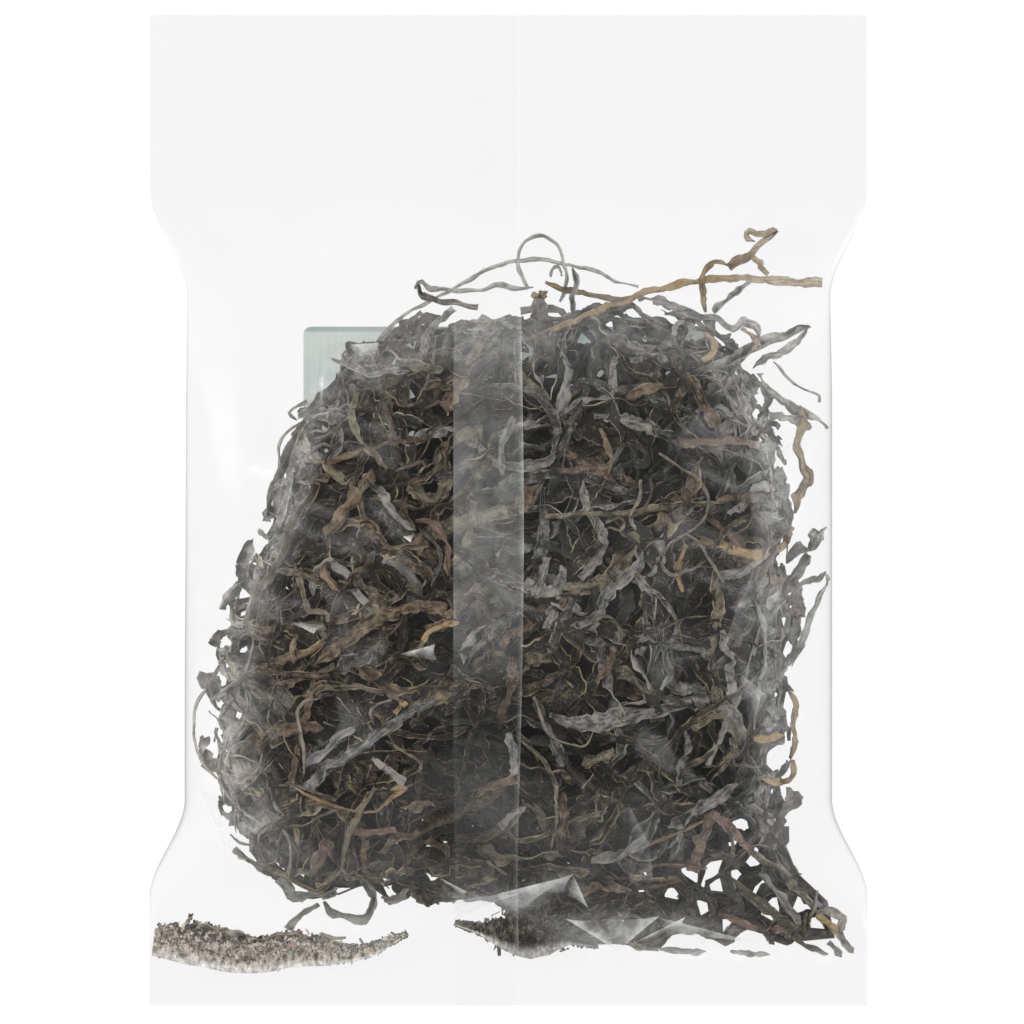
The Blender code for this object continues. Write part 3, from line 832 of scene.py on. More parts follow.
# %% Strips set out one by one
SET_OUT = [
    # Over the empty film at the top.
    ("amber", 2.6, [4, 42, 11, 45, 19, 49, 27, 52, 35, 55, 44, 57, 52, 58.5, 61, 58.8, 70, 58, 79, 57.3]),
    ("grey", 1.4, [-34, 41, -31, 45, -27, 49, -22, 52, -16, 55, -11, 58, -5, 61, 1, 63, 8, 63.4, 16, 62,
                   22, 60.6, 27, 58, 33, 56.6]),
    ("grey", 1.4, [5, 56, 3, 61, 2.7, 65, 4.5, 68, 7.6, 69.5, 11, 68.6, 13, 66, 14, 63, 14.7, 59, 14, 55,
                   13, 53]),
    ("dark", 5.4, [7.4, 54.5, 7.8, 50, 8.6, 45, 9.6, 40, 10.2, 35]),
    ("amber", 2.6, [5.6, 54, 8, 55, 10, 55.4]),
    ("amber", 1.8, [9, 57.5, 13, 56, 17, 55.4, 22, 53.8, 26, 53, 30, 53.2]),
    ("grey", 2.2, [16, 61.5, 17, 57, 16.5, 53.5, 16, 48.6]),
    ("thread", 1.0, [10.7, 59, 11.3, 61, 12.8, 61.5, 13.4, 59]),
    ("grey", 1.9, [-23.5, 56, -22, 57.7, -20, 56, -16.6, 56, -13, 55.4, -7, 55.6, -2, 56.8, 1.4, 55.7,
                   6.4, 56.6]),
    ("dark", 2.0, [-22.6, 57, -22, 54, -17, 52.7, -13.7, 52.4, -7.7, 51]),
    ("dark", 1.6, [-21.7, 50, -25, 47, -25.3, 44.6, -23.8, 41]),
    ("grey", 3.0, [-13.7, 50.6, -18.4, 47.6, -20.8, 43.4, -21.4, 38]),
    ("amber", 2.6, [68, 71, 63.6, 66.4, 59, 63, 56, 61.5]),
    ("amber", 2.4, [56, 61.5, 53, 62.8, 50, 61.5, 49, 58.4, 49.5, 54, 50, 50]),
    ("amber", 2.0, [68, 71, 63.6, 70, 60.5, 70.5, 60.5, 68.6, 62.4, 67.7]),
    ("amber", 2.0, [61, 64, 63.6, 62.8, 64, 61, 65.5, 60]),
    ("grey", 2.4, [61, 57.8, 58, 55.4, 54, 52, 52, 50]),
    ("grey", 2.6, [39.6, 49.5, 44, 50, 48, 49, 53, 48.6, 57, 46, 59, 48, 62.4, 46.7, 63, 43.7, 61, 41]),
    ("grey", 4.2, [45.8, 34, 52, 36, 57.5, 38, 63.6, 41.8, 70, 44, 76, 46.4]),
    ("grey", 2.6, [76, 46.4, 73.5, 43, 69, 39.4, 65, 38.7, 61.8, 36]),
    ("amber", 1.8, [49, 45, 51.6, 42, 50.6, 39, 48.5, 37.6]),
    ("grey", 2.2, [41, 44, 43, 47.5, 46, 46, 45, 42.6]),
    ("amber", 1.6, [59, 46, 62, 43.6, 62.6, 40.6, 60, 39.6]),
    ("thread", 0.9, [67, 37.5, 70, 34, 74, 30.7, 77.8, 29, 78, 27]),
    ("grey", 3.6, [62.4, 32, 66, 30, 70, 27, 74.7, 24.6, 79, 22, 80, 21]),
    ("grey", 3.0, [66, 24, 71.6, 23, 76, 22]),
    ("amber", 3.6, [73.5, 26.4, 74, 21.5, 73, 16.6, 74, 11.6, 75.3, 8, 73, 3.6, 72, -0.7]),
    ("dark", 2.0, [60.6, 22, 65, 19.6, 69, 16]),
    # The upper middle.
    ("brown", 3.0, [29, 27.6, 34, 29.5, 38.4, 30.7]),
    ("brown", 2.4, [40, 23, 42, 27.6, 44, 31, 42, 36, 40.8, 40]),
    ("brown", 3.0, [44.5, 34, 47, 29, 49.5, 24, 51, 21]),
    ("brown", 2.6, [39.6, 16.6, 47, 16.6, 54.4, 17, 62.4, 16]),
    ("russet", 2.2, [11, 10.4, 15.6, 9.8, 20.5, 10.4, 23.6, 8.6, 26.4, 6.7]),
    ("russet", 3.5, [4.8, 6, 4.5, 1.8]),
    ("russet", 3.6, [43.5, 5.5, 44.4, 1]),
    ("grey", 2.8, [18, 27, 16, 21.5, 13.7, 16, 12, 11.6]),
    ("grey", 3.0, [0.8, 22.7, -1.7, 15, -1.7, 8.6]),
    ("grey", 2.4, [-7, 29.5, -3.5, 30.7, 2.7, 30, 7.6, 27.6, 10.7, 24, 12, 19, 10.7, 14]),
    ("thread", 0.8, [37, 14, 42, 10.7, 46.4, 8, 49, 4, 49.3, 0.6, 47.7, -3, 44, -5.8, 40, -8, 38, -11.6,
                     38, -14, 40, -16, 44, -15, 47, -14, 52, -14.5]),
    # The left shoulder, over the label's corner.
    ("thread", 1.0, [-51, 27.6, -54, 26, -55.4, 24.4, -53.6, 22.6]),
    ("thread", 0.9, [-52.4, 22, -56.6, 19, -58, 15.4, -57.7, 9]),
    ("grey", 2.0, [-59.5, 4.7, -57, 7, -54.8, 6.5]),
    ("thread", 0.9, [-56, 3, -58, -1]),
    ("brown", 4.4, [-44.6, 7.7, -47, 7.5, -50, 1, -53.4, -5, -56, -11.6, -58, -15.4, -62, -19.8]),
    ("brown", 4.0, [-34, 10.7, -35, 7.6, -39, 2, -42.4, -2.8, -45, -5.6]),
    ("olive", 2.4, [-38, 29, -38.7, 24, -37, 18.4, -33, 14, -30, 10]),
    ("russet", 1.4, [-31.5, 28, -30, 24, -28.6, 19.6, -26.8, 17, -20, 17.8]),
    ("grey", 2.4, [-44.6, 38, -39, 36, -34.5, 34, -30, 34.5, -25, 34.5]),
    ("dark", 2.0, [-40, 41, -35.7, 42, -31, 42, -26, 42.5]),
    ("olive", 2.8, [-24.4, 36, -20, 35, -16, 35]),
    ("brown", 2.4, [-20.8, 29.7, -16.6, 31.5, -13.7, 33]),
    ("thread", 0.9, [-28, 9.5, -23.8, 11, -21.4, 12, -20, 10.7]),
    ("brown", 1.6, [-17, 16, -16, 12.5, -19, 9, -23.8, 7, -26, 10]),
    # The left side.
    ("grey", 3.0, [-34.8, 7.6, -31, 3, -28, -0.6, -25, -4, -22.7, -5]),
    ("russet", 2.2, [-22.7, -2.8, -19.4, -2.8, -16.7, -5, -15, -9, -15, -13, -14.5, -16]),
    ("thread", 1.0, [-22, -4.5, -19, -7, -16.7, -11, -17, -14, -19, -18.7]),
    ("brown", 3.0, [-35, -5, -30, -9, -25, -12.7, -18, -16]),
    ("olive", 1.6, [-44.6, -6.7, -44, -10.5, -41, -13, -38, -13.8, -37, -11.6, -39, -10.5]),
    ("brown", 2.4, [-45, -12.7, -45.7, -15.4, -43.5, -18.7, -41, -21]),
    ("brown", 2.8, [-30, -9.4, -33.7, -11, -35, -13.8, -38, -15.4, -40.8, -19.8, -43, -24, -44, -27.5,
                    -45, -32]),
    ("olive", 1.6, [-53.4, -13, -52, -17, -50, -23, -49, -25, -45, -25, -44.4, -27.5]),
    ("olive", 2.2, [-58, -15.4, -53.4, -15.4, -50, -16, -46.8, -17]),
    ("brown", 3.6, [-48, -38.4, -43.5, -35, -39, -32, -33.7, -28, -28, -25, -22, -23.6, -15, -24]),
    ("brown", 3.0, [-71.5, -45.5, -67, -42, -62.7, -40.6, -57, -40, -51, -41, -44.6, -40.6]),
    ("grey", 5.0, [-42.4, -40.6, -39, -38, -35, -36.8, -33.7, -35]),
    ("brown", 3.0, [-29, -35, -25, -36, -20, -39]),
    ("amber", 1.6, [-21, -32.4, -19.4, -30, -17, -28.6, -12, -27.5]),
    ("grey", 3.2, [-50, -68.5, -45.7, -64, -40, -61, -33.7, -56, -28, -52, -22.7, -49, -16.7, -47]),
    ("grey", 3.0, [-51, -64, -47.4, -61, -42.4, -57, -38, -54]),
    ("brown", 3.0, [-63.8, -61, -60.5, -57.6, -57, -54, -54, -52.7]),
    ("russet", 3.4, [-57, -55.4, -52, -54, -45.7, -53.7]),
    ("thread", 0.9, [-50.6, -65, -50.6, -58, -52, -52, -52, -49.4, -50, -47, -46.8, -46.6]),
    ("thread", 0.9, [-75.8, -45, -78, -48, -79, -52.6, -78.6, -59, -76.4, -64, -73, -67.4]),
    ("grey", 1.6, [-72.6, -39, -74.7, -43, -75, -46, -74, -49.4, -72.6, -50.5]),
    ("grey", 3.4, [-72.6, -25, -70, -21.4, -66.5, -18]),
    ("grey", 3.4, [-53.5, 12, -54, 6, -56, 0, -58.5, -6]),
    ("brown", 3.6, [-60.5, -9, -62.5, -15, -64, -22, -66, -29]),
    ("grey", 1.6, [-63, -5, -61, -6.7, -59, -5]),
    ("thread", 1.0, [-59, -1.7, -57, 2, -56, 6]),
    ("amber", 1.8, [-28, -50, -25, -47]),
    ("thread", 0.9, [-33, -52.7, -33.7, -50, -32, -47.7, -28.7, -47]),
    ("russet", 3.0, [0.8, -36, 0.8, -41.7, -0.8, -48, -2, -53.7]),
    ("grey", 2.6, [-0.3, -54.8, 1.4, -60, 0.8, -66]),
    ("brown", 2.6, [-9, -71, -4.7, -68.5, 1.6, -66]),
    ("grey", 2.4, [-34, -61, -30, -63.6, -25.5, -67.4]),
    ("thread", 0.9, [-29.8, -56.8, -25, -60, -21.6, -62, -22, -65]),
    ("olive", 1.2, [-56.7, -68, -52, -68, -47.4, -69.6, -42.4, -71.8]),
    ("amber", 1.6, [-29, -69, -25, -68.5, -28.7, -71, -30.4, -73]),
    ("dark", 2.0, [-55.6, -20, -56.7, -25, -57, -29.7, -59.4, -34, -59.4, -39]),
    ("brown", 2.0, [-52, -30.7, -53.4, -34, -53, -38]),
    ("dark", 3.4, [-38, -16.5, -34.8, -20, -30, -23]),
    # The right side.
    ("thread", 1.0, [44, -5.8, 47, -8, 49.4, -11.6, 51, -14.5, 53.5, -18]),
    ("thread", 1.0, [35, 7.6, 35, 3.5, 33, 0, 30, -2]),
    ("thread", 1.0, [32.6, 7.6, 32, 2.4, 30, -1.7, 31.5, -5]),
    ("thread", 0.9, [23.7, -3, 27.4, -2, 28.6, -3.4, 27.4, -5, 25, -4.3, 23.4, -5]),
    ("grey", 2.8, [18.7, 7.6, 19, 3, 21, -1.7, 22.8, -5.8, 23.4, -9, 21, -13, 17.6, -16.8]),
    ("dark", 2.8, [15, -15.6, 19, -11.6, 22.8, -8]),
    ("grey", 3.4, [32.6, -9, 32.6, -12.7, 28, -17.4, 24, -21.4, 21.6, -26, 15, -29.5]),
    ("thread", 0.9, [21, -28.4, 20.8, -26.6, 22.8, -25.8, 25.7, -26.6, 27.4, -29, 27.4, -32.4]),
    ("grey", 2.6, [9.4, -11.6, 8.3, -16.8, 7, -22]),
    ("grey", 3.0, [14, -14, 11.8, -21.4, 9.4, -29.5]),
    ("grey", 3.0, [16.4, -19.7, 14.7, -25, 12, -30.7, 10.6, -35]),
    ("grey", 2.4, [-5, -18.7, -2, -19.7, 3, -23, 9, -27, 15, -29.5, 20.5, -32.4, 27.4, -33.6]),
    ("russet", 2.8, [26, -33.6, 24.5, -38, 22, -41.7]),
    ("russet", 2.6, [60.5, 1, 62.8, -3, 64.5, -7]),
    ("russet", 2.4, [67.4, -8.7, 64.5, -14, 61.6, -20.8]),
    ("brown", 2.6, [52, 2.4, 58, 3.5, 63.4, 3.5, 66, 1]),
    ("grey", 4.4, [69.8, -13.5, 74, -10, 77, -7.6, 79.6, -4]),
    ("grey", 3.8, [68, -21.7, 71.6, -16.5, 75.5, -11.6]),
    ("grey", 2.4, [71.5, -20.8, 74, -18.5, 78, -17, 79.5, -16, 79.6, -18.5, 77, -25, 75, -30.7, 72.6,
                   -36.5, 71.5, -39]),
    ("grey", 1.6, [61, -22.6, 63.4, -28.4, 64, -37.6, 62, -44.6, 61, -54.5]),
    ("olive", 1.8, [61, -42, 55.8, -45.8, 50, -49, 44, -53, 38.4, -59, 33, -63, 29.7, -66.6]),
    ("olive", 1.6, [45.4, -54, 51, -51, 54.7, -52, 56.4, -55, 55.8, -59.7, 52, -65.5]),
    ("olive", 1.4, [27.7, -56, 32, -56.8, 36.7, -57.4]),
    ("grey", 2.8, [6.5, -46, 9.4, -53, 11.8, -58, 13.5, -63]),
    ("thread", 1.0, [6.5, -46, 10, -55, 14.7, -57.4, 19, -58, 21, -54]),
    ("olive", 1.2, [3, -56.8, 7.7, -60.8, 11, -66, 12, -71.8]),
    ("olive", 3.4, [18, -63, 22, -61.4, 26, -59.7]),
    ("amber", 2.4, [60.8, -56.8, 64.5, -56.8, 69, -56.5]),
    ("amber", 2.0, [70, -44.6, 72.6, -49, 72, -55, 72, -60, 71, -62.6]),
    ("amber", 2.2, [62.8, -67, 66, -68, 69.7, -68.4, 72, -66.6, 71.5, -63]),
    # The bottom left.
    ("olive", 2.0, [-55.7, -76, -60, -78.6, -63, -82, -62.5, -86.5, -59, -90.8, -55, -92, -50, -95,
                    -46, -94.5, -43, -90.8, -41, -86.5]),
    ("thread", 0.9, [-59.4, -68.8, -58, -73, -55.7, -76]),
    ("thread", 0.9, [-57.6, -78.6, -55, -81.6, -54.5, -86, -55.4, -92]),
    ("olive", 2.6, [-33, -68, -35.5, -73, -38, -77.4, -40, -81.6, -41, -86, -42, -89.6, -44.7, -92.7,
                    -47.8, -94.5]),
    ("dark", 5.6, [-12, -71, -7, -66, -1, -61]),
    ("dark", 5.2, [-10, -76.5, -5, -79, 0, -82]),
    ("brown", 2.8, [-21.6, -82.9, -17.4, -84.4, -14.9, -87.5]),
    ("brown", 4.2, [1.6, -66.2, -3.6, -70.2, -10.8, -74.8, -19, -78.6, -25.7, -81.7, -32.4, -85.2]),
    ("amber", 1.1, [-54, -68, -49, -70.6, -44, -72.8, -38, -74.6, -33, -74.6, -30.6, -73, -28, -69.4]),
    ("brown", 3.4, [-27, -73.7, -18, -73]),
    ("russet", 4.2, [-45, -81.6, -46.5, -86.5, -49, -91.4]),
    ("russet", 3.4, [-38, -80.4, -28, -79.8]),
    ("brown", 3.6, [-32, -91.4, -25.7, -89.6]),
    ("grey", 4.6, [-58, -93, -55, -96.5, -51.4, -97, -46.5, -97, -43, -95]),
    ("grey", 3.3, [-46.5, -98.8, -44, -101.5, -40, -103, -36.7, -103.4, -35, -101, -34, -97.6, -35.5,
                   -94.5, -36.7, -93]),
    ("grey", 2.4, [-47.8, -99.4, -50.8, -101, -54, -103.7, -55.7, -106]),
    ("grey", 3.5, [-32, -98, -28, -97.6, -24.5, -95.7]),
    ("dark", 4.4, [-24.5, -95.7, -20, -97.6, -14.7, -97.6]),
    ("dark", 5.0, [-20, -89, -12, -91.5, -3, -91]),
    ("dark", 4.0, [-17, -94.6, -9, -96, 0, -96.6]),
    ("grey", 2.6, [-15, -97.2, -8, -97.8, 1, -98.6]),
    ("olive", 3.2, [-14, -82.4, -6, -82.2, -0.9, -79, 2.7, -75, 4.5, -73.6]),
    ("olive", 3.0, [-10.4, -95, -2.5, -92.7]),
    ("thread", 0.9, [-5.5, -88.4, 0.6, -92.7]),
    # The bottom right, down to the net of stems in the corner.
    ("thread", 1.0, [11.6, -68, 12, -73, 11.6, -79, 10.7, -84]),
    ("grey", 2.0, [4.4, -73.5, 1.4, -76, -2, -79.5]),
    ("olive", 1.8, [-2, -78, 2, -82.5, 6.8, -82, 10.7, -80]),
    ("olive", 1.8, [14.8, -77.4, 19, -75.6, 24, -74.4]),
    ("olive", 3.4, [27.6, -73, 25, -77, 22, -80.7, 20, -84]),
    ("dark", 5.6, [4, -72, 7.5, -76, 11, -82]),
    ("dark", 6.0, [15, -81, 20, -76.5, 26, -70]),
    ("brown", 2.8, [13.4, -70, 13.8, -77, 12.8, -84.5]),
    ("olive", 3.8, [-7.5, -84.7, -1, -87.6, 6.3, -87, 13.5, -86]),
    ("dark", 5.0, [3, -91.5, 11, -90, 20, -91]),
    ("grey", 3.6, [21, -88, 28, -86.5, 33, -82, 37, -76]),
    ("brown", 3.0, [16, -96, 24, -94.5, 31, -96]),
    ("grey", 3.6, [28, -100.5, 37, -103, 46, -105.3, 54, -107]),
    ("grey", 3.0, [24, -107.5, 31, -109, 38, -110.6]),
    ("grey", 1.8, [38, -110.8, 44, -111.4, 50, -111.6]),
    ("grey", 1.6, [56, -111.3, 61, -112, 66, -112.2]),
    ("amber", 1.6, [30, -86, 37, -82.5, 43, -79.5, 49, -76.8, 50.6, -76]),
    ("grey", 3.6, [39, -79, 44, -75, 48.5, -73, 53, -70, 56.8, -68]),
    ("russet", 3.4, [51, -74.7, 48, -81, 47, -86, 45.5, -90]),
    ("russet", 2.6, [51, -75, 55, -79, 58, -82.5, 61, -86]),
    ("russet", 1.2, [33, -90.8, 38, -89, 44, -89, 49.7, -90]),
    ("russet", 1.2, [36, -94.4, 39.6, -93.8, 43, -92.6]),
    ("russet", 1.2, [14, -89.6, 20.5, -90.8]),
    ("dark", 1.3, [55.6, -80.7, 56, -85.5, 55, -89, 52.7, -92, 49.7, -93.5]),
    ("dark", 5.0, [71.7, -70.6, 70.6, -74.7, 68, -79, 65, -83.7, 64, -86]),
    ("dark", 5.0, [62, -73, 63.4, -77, 66.4, -79]),
    ("olive", 2.6, [59, -84, 63.4, -87.8, 67.6, -90, 71, -93.8, 75, -98, 77.7, -102]),
    ("olive", 1.4, [78, -96, 77, -100, 76, -104]),
    ("olive", 2.6, [77, -101.5, 81, -101, 84, -102.7, 84, -105, 82.5, -107]),
    ("amber", 2.4, [77.7, -102, 81, -104.5, 83, -106]),
    ("olive", 2.4, [82.5, -106, 84.8, -109, 87, -112]),
    ("dark", 2.4, [71.5, -107.5, 74.7, -110, 77.7, -111, 80.7, -112]),
    ("grey", 2.0, [80.7, -109, 83, -111, 84, -113]),
    ("dark", 3.0, [55, -92, 61, -96.8, 66.4, -101.5, 72, -105, 76.5, -107.5]),
    ("russet", 2.2, [53, -101.5, 59, -104, 65, -105.7, 70.5, -106]),
    ("grey", 2.6, [63.4, -91.4, 68, -96.8, 71.7, -101.5, 74, -106]),
    ("dark", 2.2, [74.7, -101.5, 75, -108.7]),
]


set_out(SET_OUT)
fill_heap(THREADS, THREAD_STEPS, CEILING_MAP, (0.4, 0.6, 0.9), (12, 44), (1.0, 2.0), kind="thread")


# %% Strip pieces
def joined_strips(name, laid):
    """One mesh for all strips of a kind. Its UV map holds the share across and the distance along,
    and its attributes hold the values that each strip came with, one for each step."""
    points, quads, uv, shift = [], [], [], 0
    values = {title: [] for title in laid[0][2]}
    for strip_points, run, given in laid:
        steps, profile = strip_points.shape[:2]
        across = np.broadcast_to(0.5 + 0.5 * PROFILE_SIDE, (steps, profile))
        along = np.broadcast_to(run[:, None] * 100.0, across.shape)
        points.append(strip_points.reshape(-1, 3))
        uv.append(np.stack([across, along], axis=-1).reshape(-1, 2))
        for title, numbers in given.items():
            values[title].append(np.repeat(numbers, profile))
        quads.append(ribbon_quads(steps, profile) + shift)
        shift += steps * profile
    values = {title: np.concatenate(numbers) for title, numbers in values.items()}
    return build_mesh(name, np.concatenate(points), np.concatenate(quads), np.concatenate(uv), values)


# %% [markdown]
# ## Kelp material
#
# Dried kelp is dull and mottled: charcoal and olive faces with a pale bloom of dried salt, darker
# where it is thick. The cut edges are pale tan, partly their own dried colour and partly painted
# highlight where light catches them, and they draw a thin, broken line along every strip.
# The streaks follow each strip, so they read the strip's own UV map: u across it and v along it. The
# blotches and specks read Object coordinates, which are metres on every piece.
#
# All kinds of strip share this finish in other colours, so it is a node group, and each material
# gives it two face colours and an edge colour. It puts out colour, roughness and a normal.

# %% Node helpers
def add_node(tree, kind, settings=None, **inputs):
    """A node with its properties set, and its inputs set or, where given a socket, linked. An input
    is named, with _ for a space, or numbered, as i0."""
    node = tree.nodes.new(kind)
    for name, value in (settings or {}).items():
        setattr(node, name, value)
    for name, value in inputs.items():
        numbered = name[0] == "i" and name[1:].isdigit()
        socket = node.inputs[int(name[1:]) if numbered else name.replace("_", " ")]
        if isinstance(value, bpy.types.NodeSocket):
            tree.links.new(value, socket)
        else:
            socket.default_value = value
    return node


def math(tree, operation, first, second=0.0, third=0.0, clamp=False):
    settings = {"operation": operation, "use_clamp": clamp}
    return add_node(tree, "ShaderNodeMath", settings, i0=first, i1=second, i2=third).outputs[0]


def spread_range(tree, value, low, high, to_low=0.0, to_high=1.0):
    """value from low..high to to_low..to_high, smooth at both ends."""
    node = add_node(tree, "ShaderNodeMapRange", {"interpolation_type": "SMOOTHSTEP"}, Value=value,
                    From_Min=low, From_Max=high, To_Min=to_low, To_Max=to_high)
    return node.outputs[0]


def noise(tree, place, scale, detail=3.0, roughness=0.6):
    return add_node(tree, "ShaderNodeTexNoise", Vector=place, Scale=scale, Detail=detail,
                    Roughness=roughness).outputs[0]


def attribute(tree, name):
    return add_node(tree, "ShaderNodeAttribute", {"attribute_name": name}).outputs["Fac"]


def object_place(tree):
    return add_node(tree, "ShaderNodeTexCoord").outputs["Object"]


def mix_colour(tree, share, first, second):
    return add_node(tree, "ShaderNodeMix", {"data_type": "RGBA"}, i0=share, i6=first, i7=second).outputs[2]


def new_group(name, inputs):
    """A node group with named inputs, that puts out Color, Roughness and Normal."""
    group = bpy.data.node_groups.new(name, "ShaderNodeTree")
    for title, kind in inputs.items():
        group.interface.new_socket(name=title, in_out="INPUT", socket_type=f"NodeSocket{kind}")
    for title, kind in {"Color": "Color", "Roughness": "Float", "Normal": "Vector"}.items():
        group.interface.new_socket(name=title, in_out="OUTPUT", socket_type=f"NodeSocket{kind}")
    return group, group.nodes.new("NodeGroupInput").outputs, group.nodes.new("NodeGroupOutput").inputs


# %% Kelp node group
FLECK_COLOUR = (0.305, 0.26, 0.195, 1.0)
# Painted light: the pale greys that strips near the heap's rim are mixed towards.
RIM_LIGHT_DARKEST = (0.37, 0.355, 0.33, 1.0)
RIM_LIGHT_PALEST = (0.94, 0.925, 0.895, 1.0)


def make_kelp_group():
    """Face colours mixed by streaks, blotches and the strip's shade, flecked with salt, with broken
    pale edges that are partly painted highlight, and paled towards the rim of the heap by painted
    light that stands for film haze and light coming through from behind."""
    group, given, result = new_group("dried_kelp", {
        "Dark": "Color", "Light": "Color", "Edge": "Color", "Edge Share": "Float", "Bloom": "Float"})
    shade = attribute(group, "shade")
    place = object_place(group)
    uv = add_node(group, "ShaderNodeUVMap", {"uv_map": "along"}).outputs[0]
    split = add_node(group, "ShaderNodeSeparateXYZ", i0=uv).outputs
    lengthwise = add_node(group, "ShaderNodeCombineXYZ", X=math(group, "MULTIPLY", split[0], 6.0),
                          Y=math(group, "MULTIPLY", split[1], 3.0),
                          Z=math(group, "MULTIPLY", shade, 60.0)).outputs[0]
    streaks = noise(group, lengthwise, 1.0, 5.0, 0.7)
    blotches = noise(group, place, 420.0, 4.0, 0.7)
    specks = noise(group, place, 1900.0, 2.0, 0.65)
    lightness = math(group, "MULTIPLY_ADD", streaks, 0.55, math(group, "MULTIPLY", blotches, 0.45))
    shaded = math(group, "ADD", lightness, math(group, "MULTIPLY_ADD", shade, 0.34, -0.16))
    face = mix_colour(group, spread_range(group, shaded, 0.46, 0.73), given["Dark"], given["Light"])
    salt = math(group, "MULTIPLY_ADD", blotches, 0.5, math(group, "MULTIPLY", specks, 0.5))
    bloom = math(group, "MULTIPLY", math(group, "MULTIPLY_ADD", shade, 1.0, 0.35), given["Bloom"])
    salt = math(group, "MULTIPLY", spread_range(group, salt, 0.50, 0.66), bloom)
    face = mix_colour(group, salt, face, FLECK_COLOUR)
    # Pale edge lines, partly the cut edges' own colour and partly painted highlight, broken along their length.
    out = math(group, "ABSOLUTE", math(group, "MULTIPLY_ADD", split[0], 2.0, -1.0))
    rim = spread_range(group, math(group, "MULTIPLY_ADD", blotches, 0.6, out), 1.08, 1.26)
    beside = add_node(group, "ShaderNodeCombineXYZ", X=math(group, "MULTIPLY", split[0], 4.0),
                      Y=math(group, "MULTIPLY", split[1], 0.9),
                      Z=math(group, "MULTIPLY_ADD", shade, 60.0, 30.0)).outputs[0]
    edge_breaks = spread_range(group, noise(group, beside, 1.0, 2.0), 0.40, 0.60, 0.1, 1.0)
    edging = math(group, "MULTIPLY_ADD", attribute(group, "edging"), 1.1, 0.12, clamp=True)
    rim = math(group, "MULTIPLY", math(group, "MULTIPLY", rim, edge_breaks), math(group, "MULTIPLY", edging, given["Edge Share"]))
    colour = mix_colour(group, rim, face, given["Edge"])
    # Painted light: the face mixed towards pale grey by the rim attribute, standing for haze and backlight.
    rim_light_mix = math(group, "MULTIPLY", math(group, "POWER", attribute(group, "rim"), 1.2), 0.93)
    pale = mix_colour(group, spread_range(group, lightness, 0.38, 0.66), RIM_LIGHT_DARKEST, RIM_LIGHT_PALEST)
    colour = mix_colour(group, rim_light_mix, colour, pale)
    rough = spread_range(group, streaks, 0.3, 0.7, 0.45, 0.75)
    height = math(group, "MULTIPLY_ADD", specks, 0.5, math(group, "MULTIPLY", streaks, 0.7))
    bump = add_node(group, "ShaderNodeBump", Strength=0.9, Distance=0.0004, Height=height)
    for title, socket in (("Color", colour), ("Roughness", rough), ("Normal", bump.outputs[0])):
        group.links.new(socket, result[title])
    return group


KELP_GROUP = make_kelp_group()


def new_material(name):
    material = bpy.data.materials.new(name)
    material.use_nodes = True
    return material, material.node_tree, material.node_tree.nodes["Principled BSDF"]


def group_material(name, group, specular, **given):
    """A Principled material whose colour, roughness and normal come from a node group."""
    material, tree, shader = new_material(name)
    made = add_node(tree, "ShaderNodeGroup", {"node_tree": group}, **given)
    tree.links.new(made.outputs["Color"], shader.inputs["Base Color"])
    tree.links.new(made.outputs["Roughness"], shader.inputs["Roughness"])
    tree.links.new(made.outputs["Normal"], shader.inputs["Normal"])
    shader.inputs["Specular IOR Level"].default_value = specular
    return material


def kelp_material(name, dark, light, edge, edge_share=0.95, bloom=0.6):
    return group_material(name, KELP_GROUP, 0.35, Dark=(*dark, 1.0), Light=(*light, 1.0),
                          Edge=(*edge, 1.0), Edge_Share=edge_share, Bloom=bloom)


# %% Kelp colours
# Edge colours: partly the dried cut edges' own colour and partly painted highlight where light catches them.
TAN_EDGE = (0.41, 0.325, 0.20)
GREY_EDGE = (0.36, 0.345, 0.30)
KELP_COLOURS = {
    "dark": ((0.008, 0.0070, 0.0052), (0.083, 0.074, 0.055), TAN_EDGE),
    "olive": ((0.014, 0.0120, 0.0075), (0.192, 0.168, 0.112), TAN_EDGE),
    "brown": ((0.011, 0.0076, 0.0045), (0.208, 0.152, 0.094), TAN_EDGE),
    "grey": ((0.026, 0.0252, 0.0228), (0.295, 0.287, 0.265), GREY_EDGE),
    "russet": ((0.036, 0.023, 0.016), (0.190, 0.122, 0.087), (0.34, 0.25, 0.18)),
    # Amber: partly the thin kelp's own colour and partly painted light coming through it from behind.
    "amber": ((0.120, 0.084, 0.043), (0.430, 0.312, 0.160), (0.12, 0.095, 0.06)),
    "thread": ((0.080, 0.070, 0.054), (0.290, 0.250, 0.188), GREY_EDGE),
    "lower": ((0.015, 0.013, 0.0095), (0.099, 0.088, 0.064), TAN_EDGE),
}
for kind, laid in strips.items():
    name = f"kelp_{kind}"
    print(kind, len(laid), "strips")
    add_piece(name, joined_strips(name, laid), kelp_material(name, *KELP_COLOURS[kind]))

# %% [markdown]
# ## The core
#
# Nobody can see into the middle of the heap, so it holds no strips. A dark core fills it, so that no
# light comes through from below: two sheets over the heap's plan that meet at a rim, roughly ridged
# like the strips that it stands for. It stays well inside the outline, where the heap is thin. Its
# near-black colour, darker than the strips, is painted shade for the unlit inside of the heap.

# %% Core
CORE_SHARE = 0.66


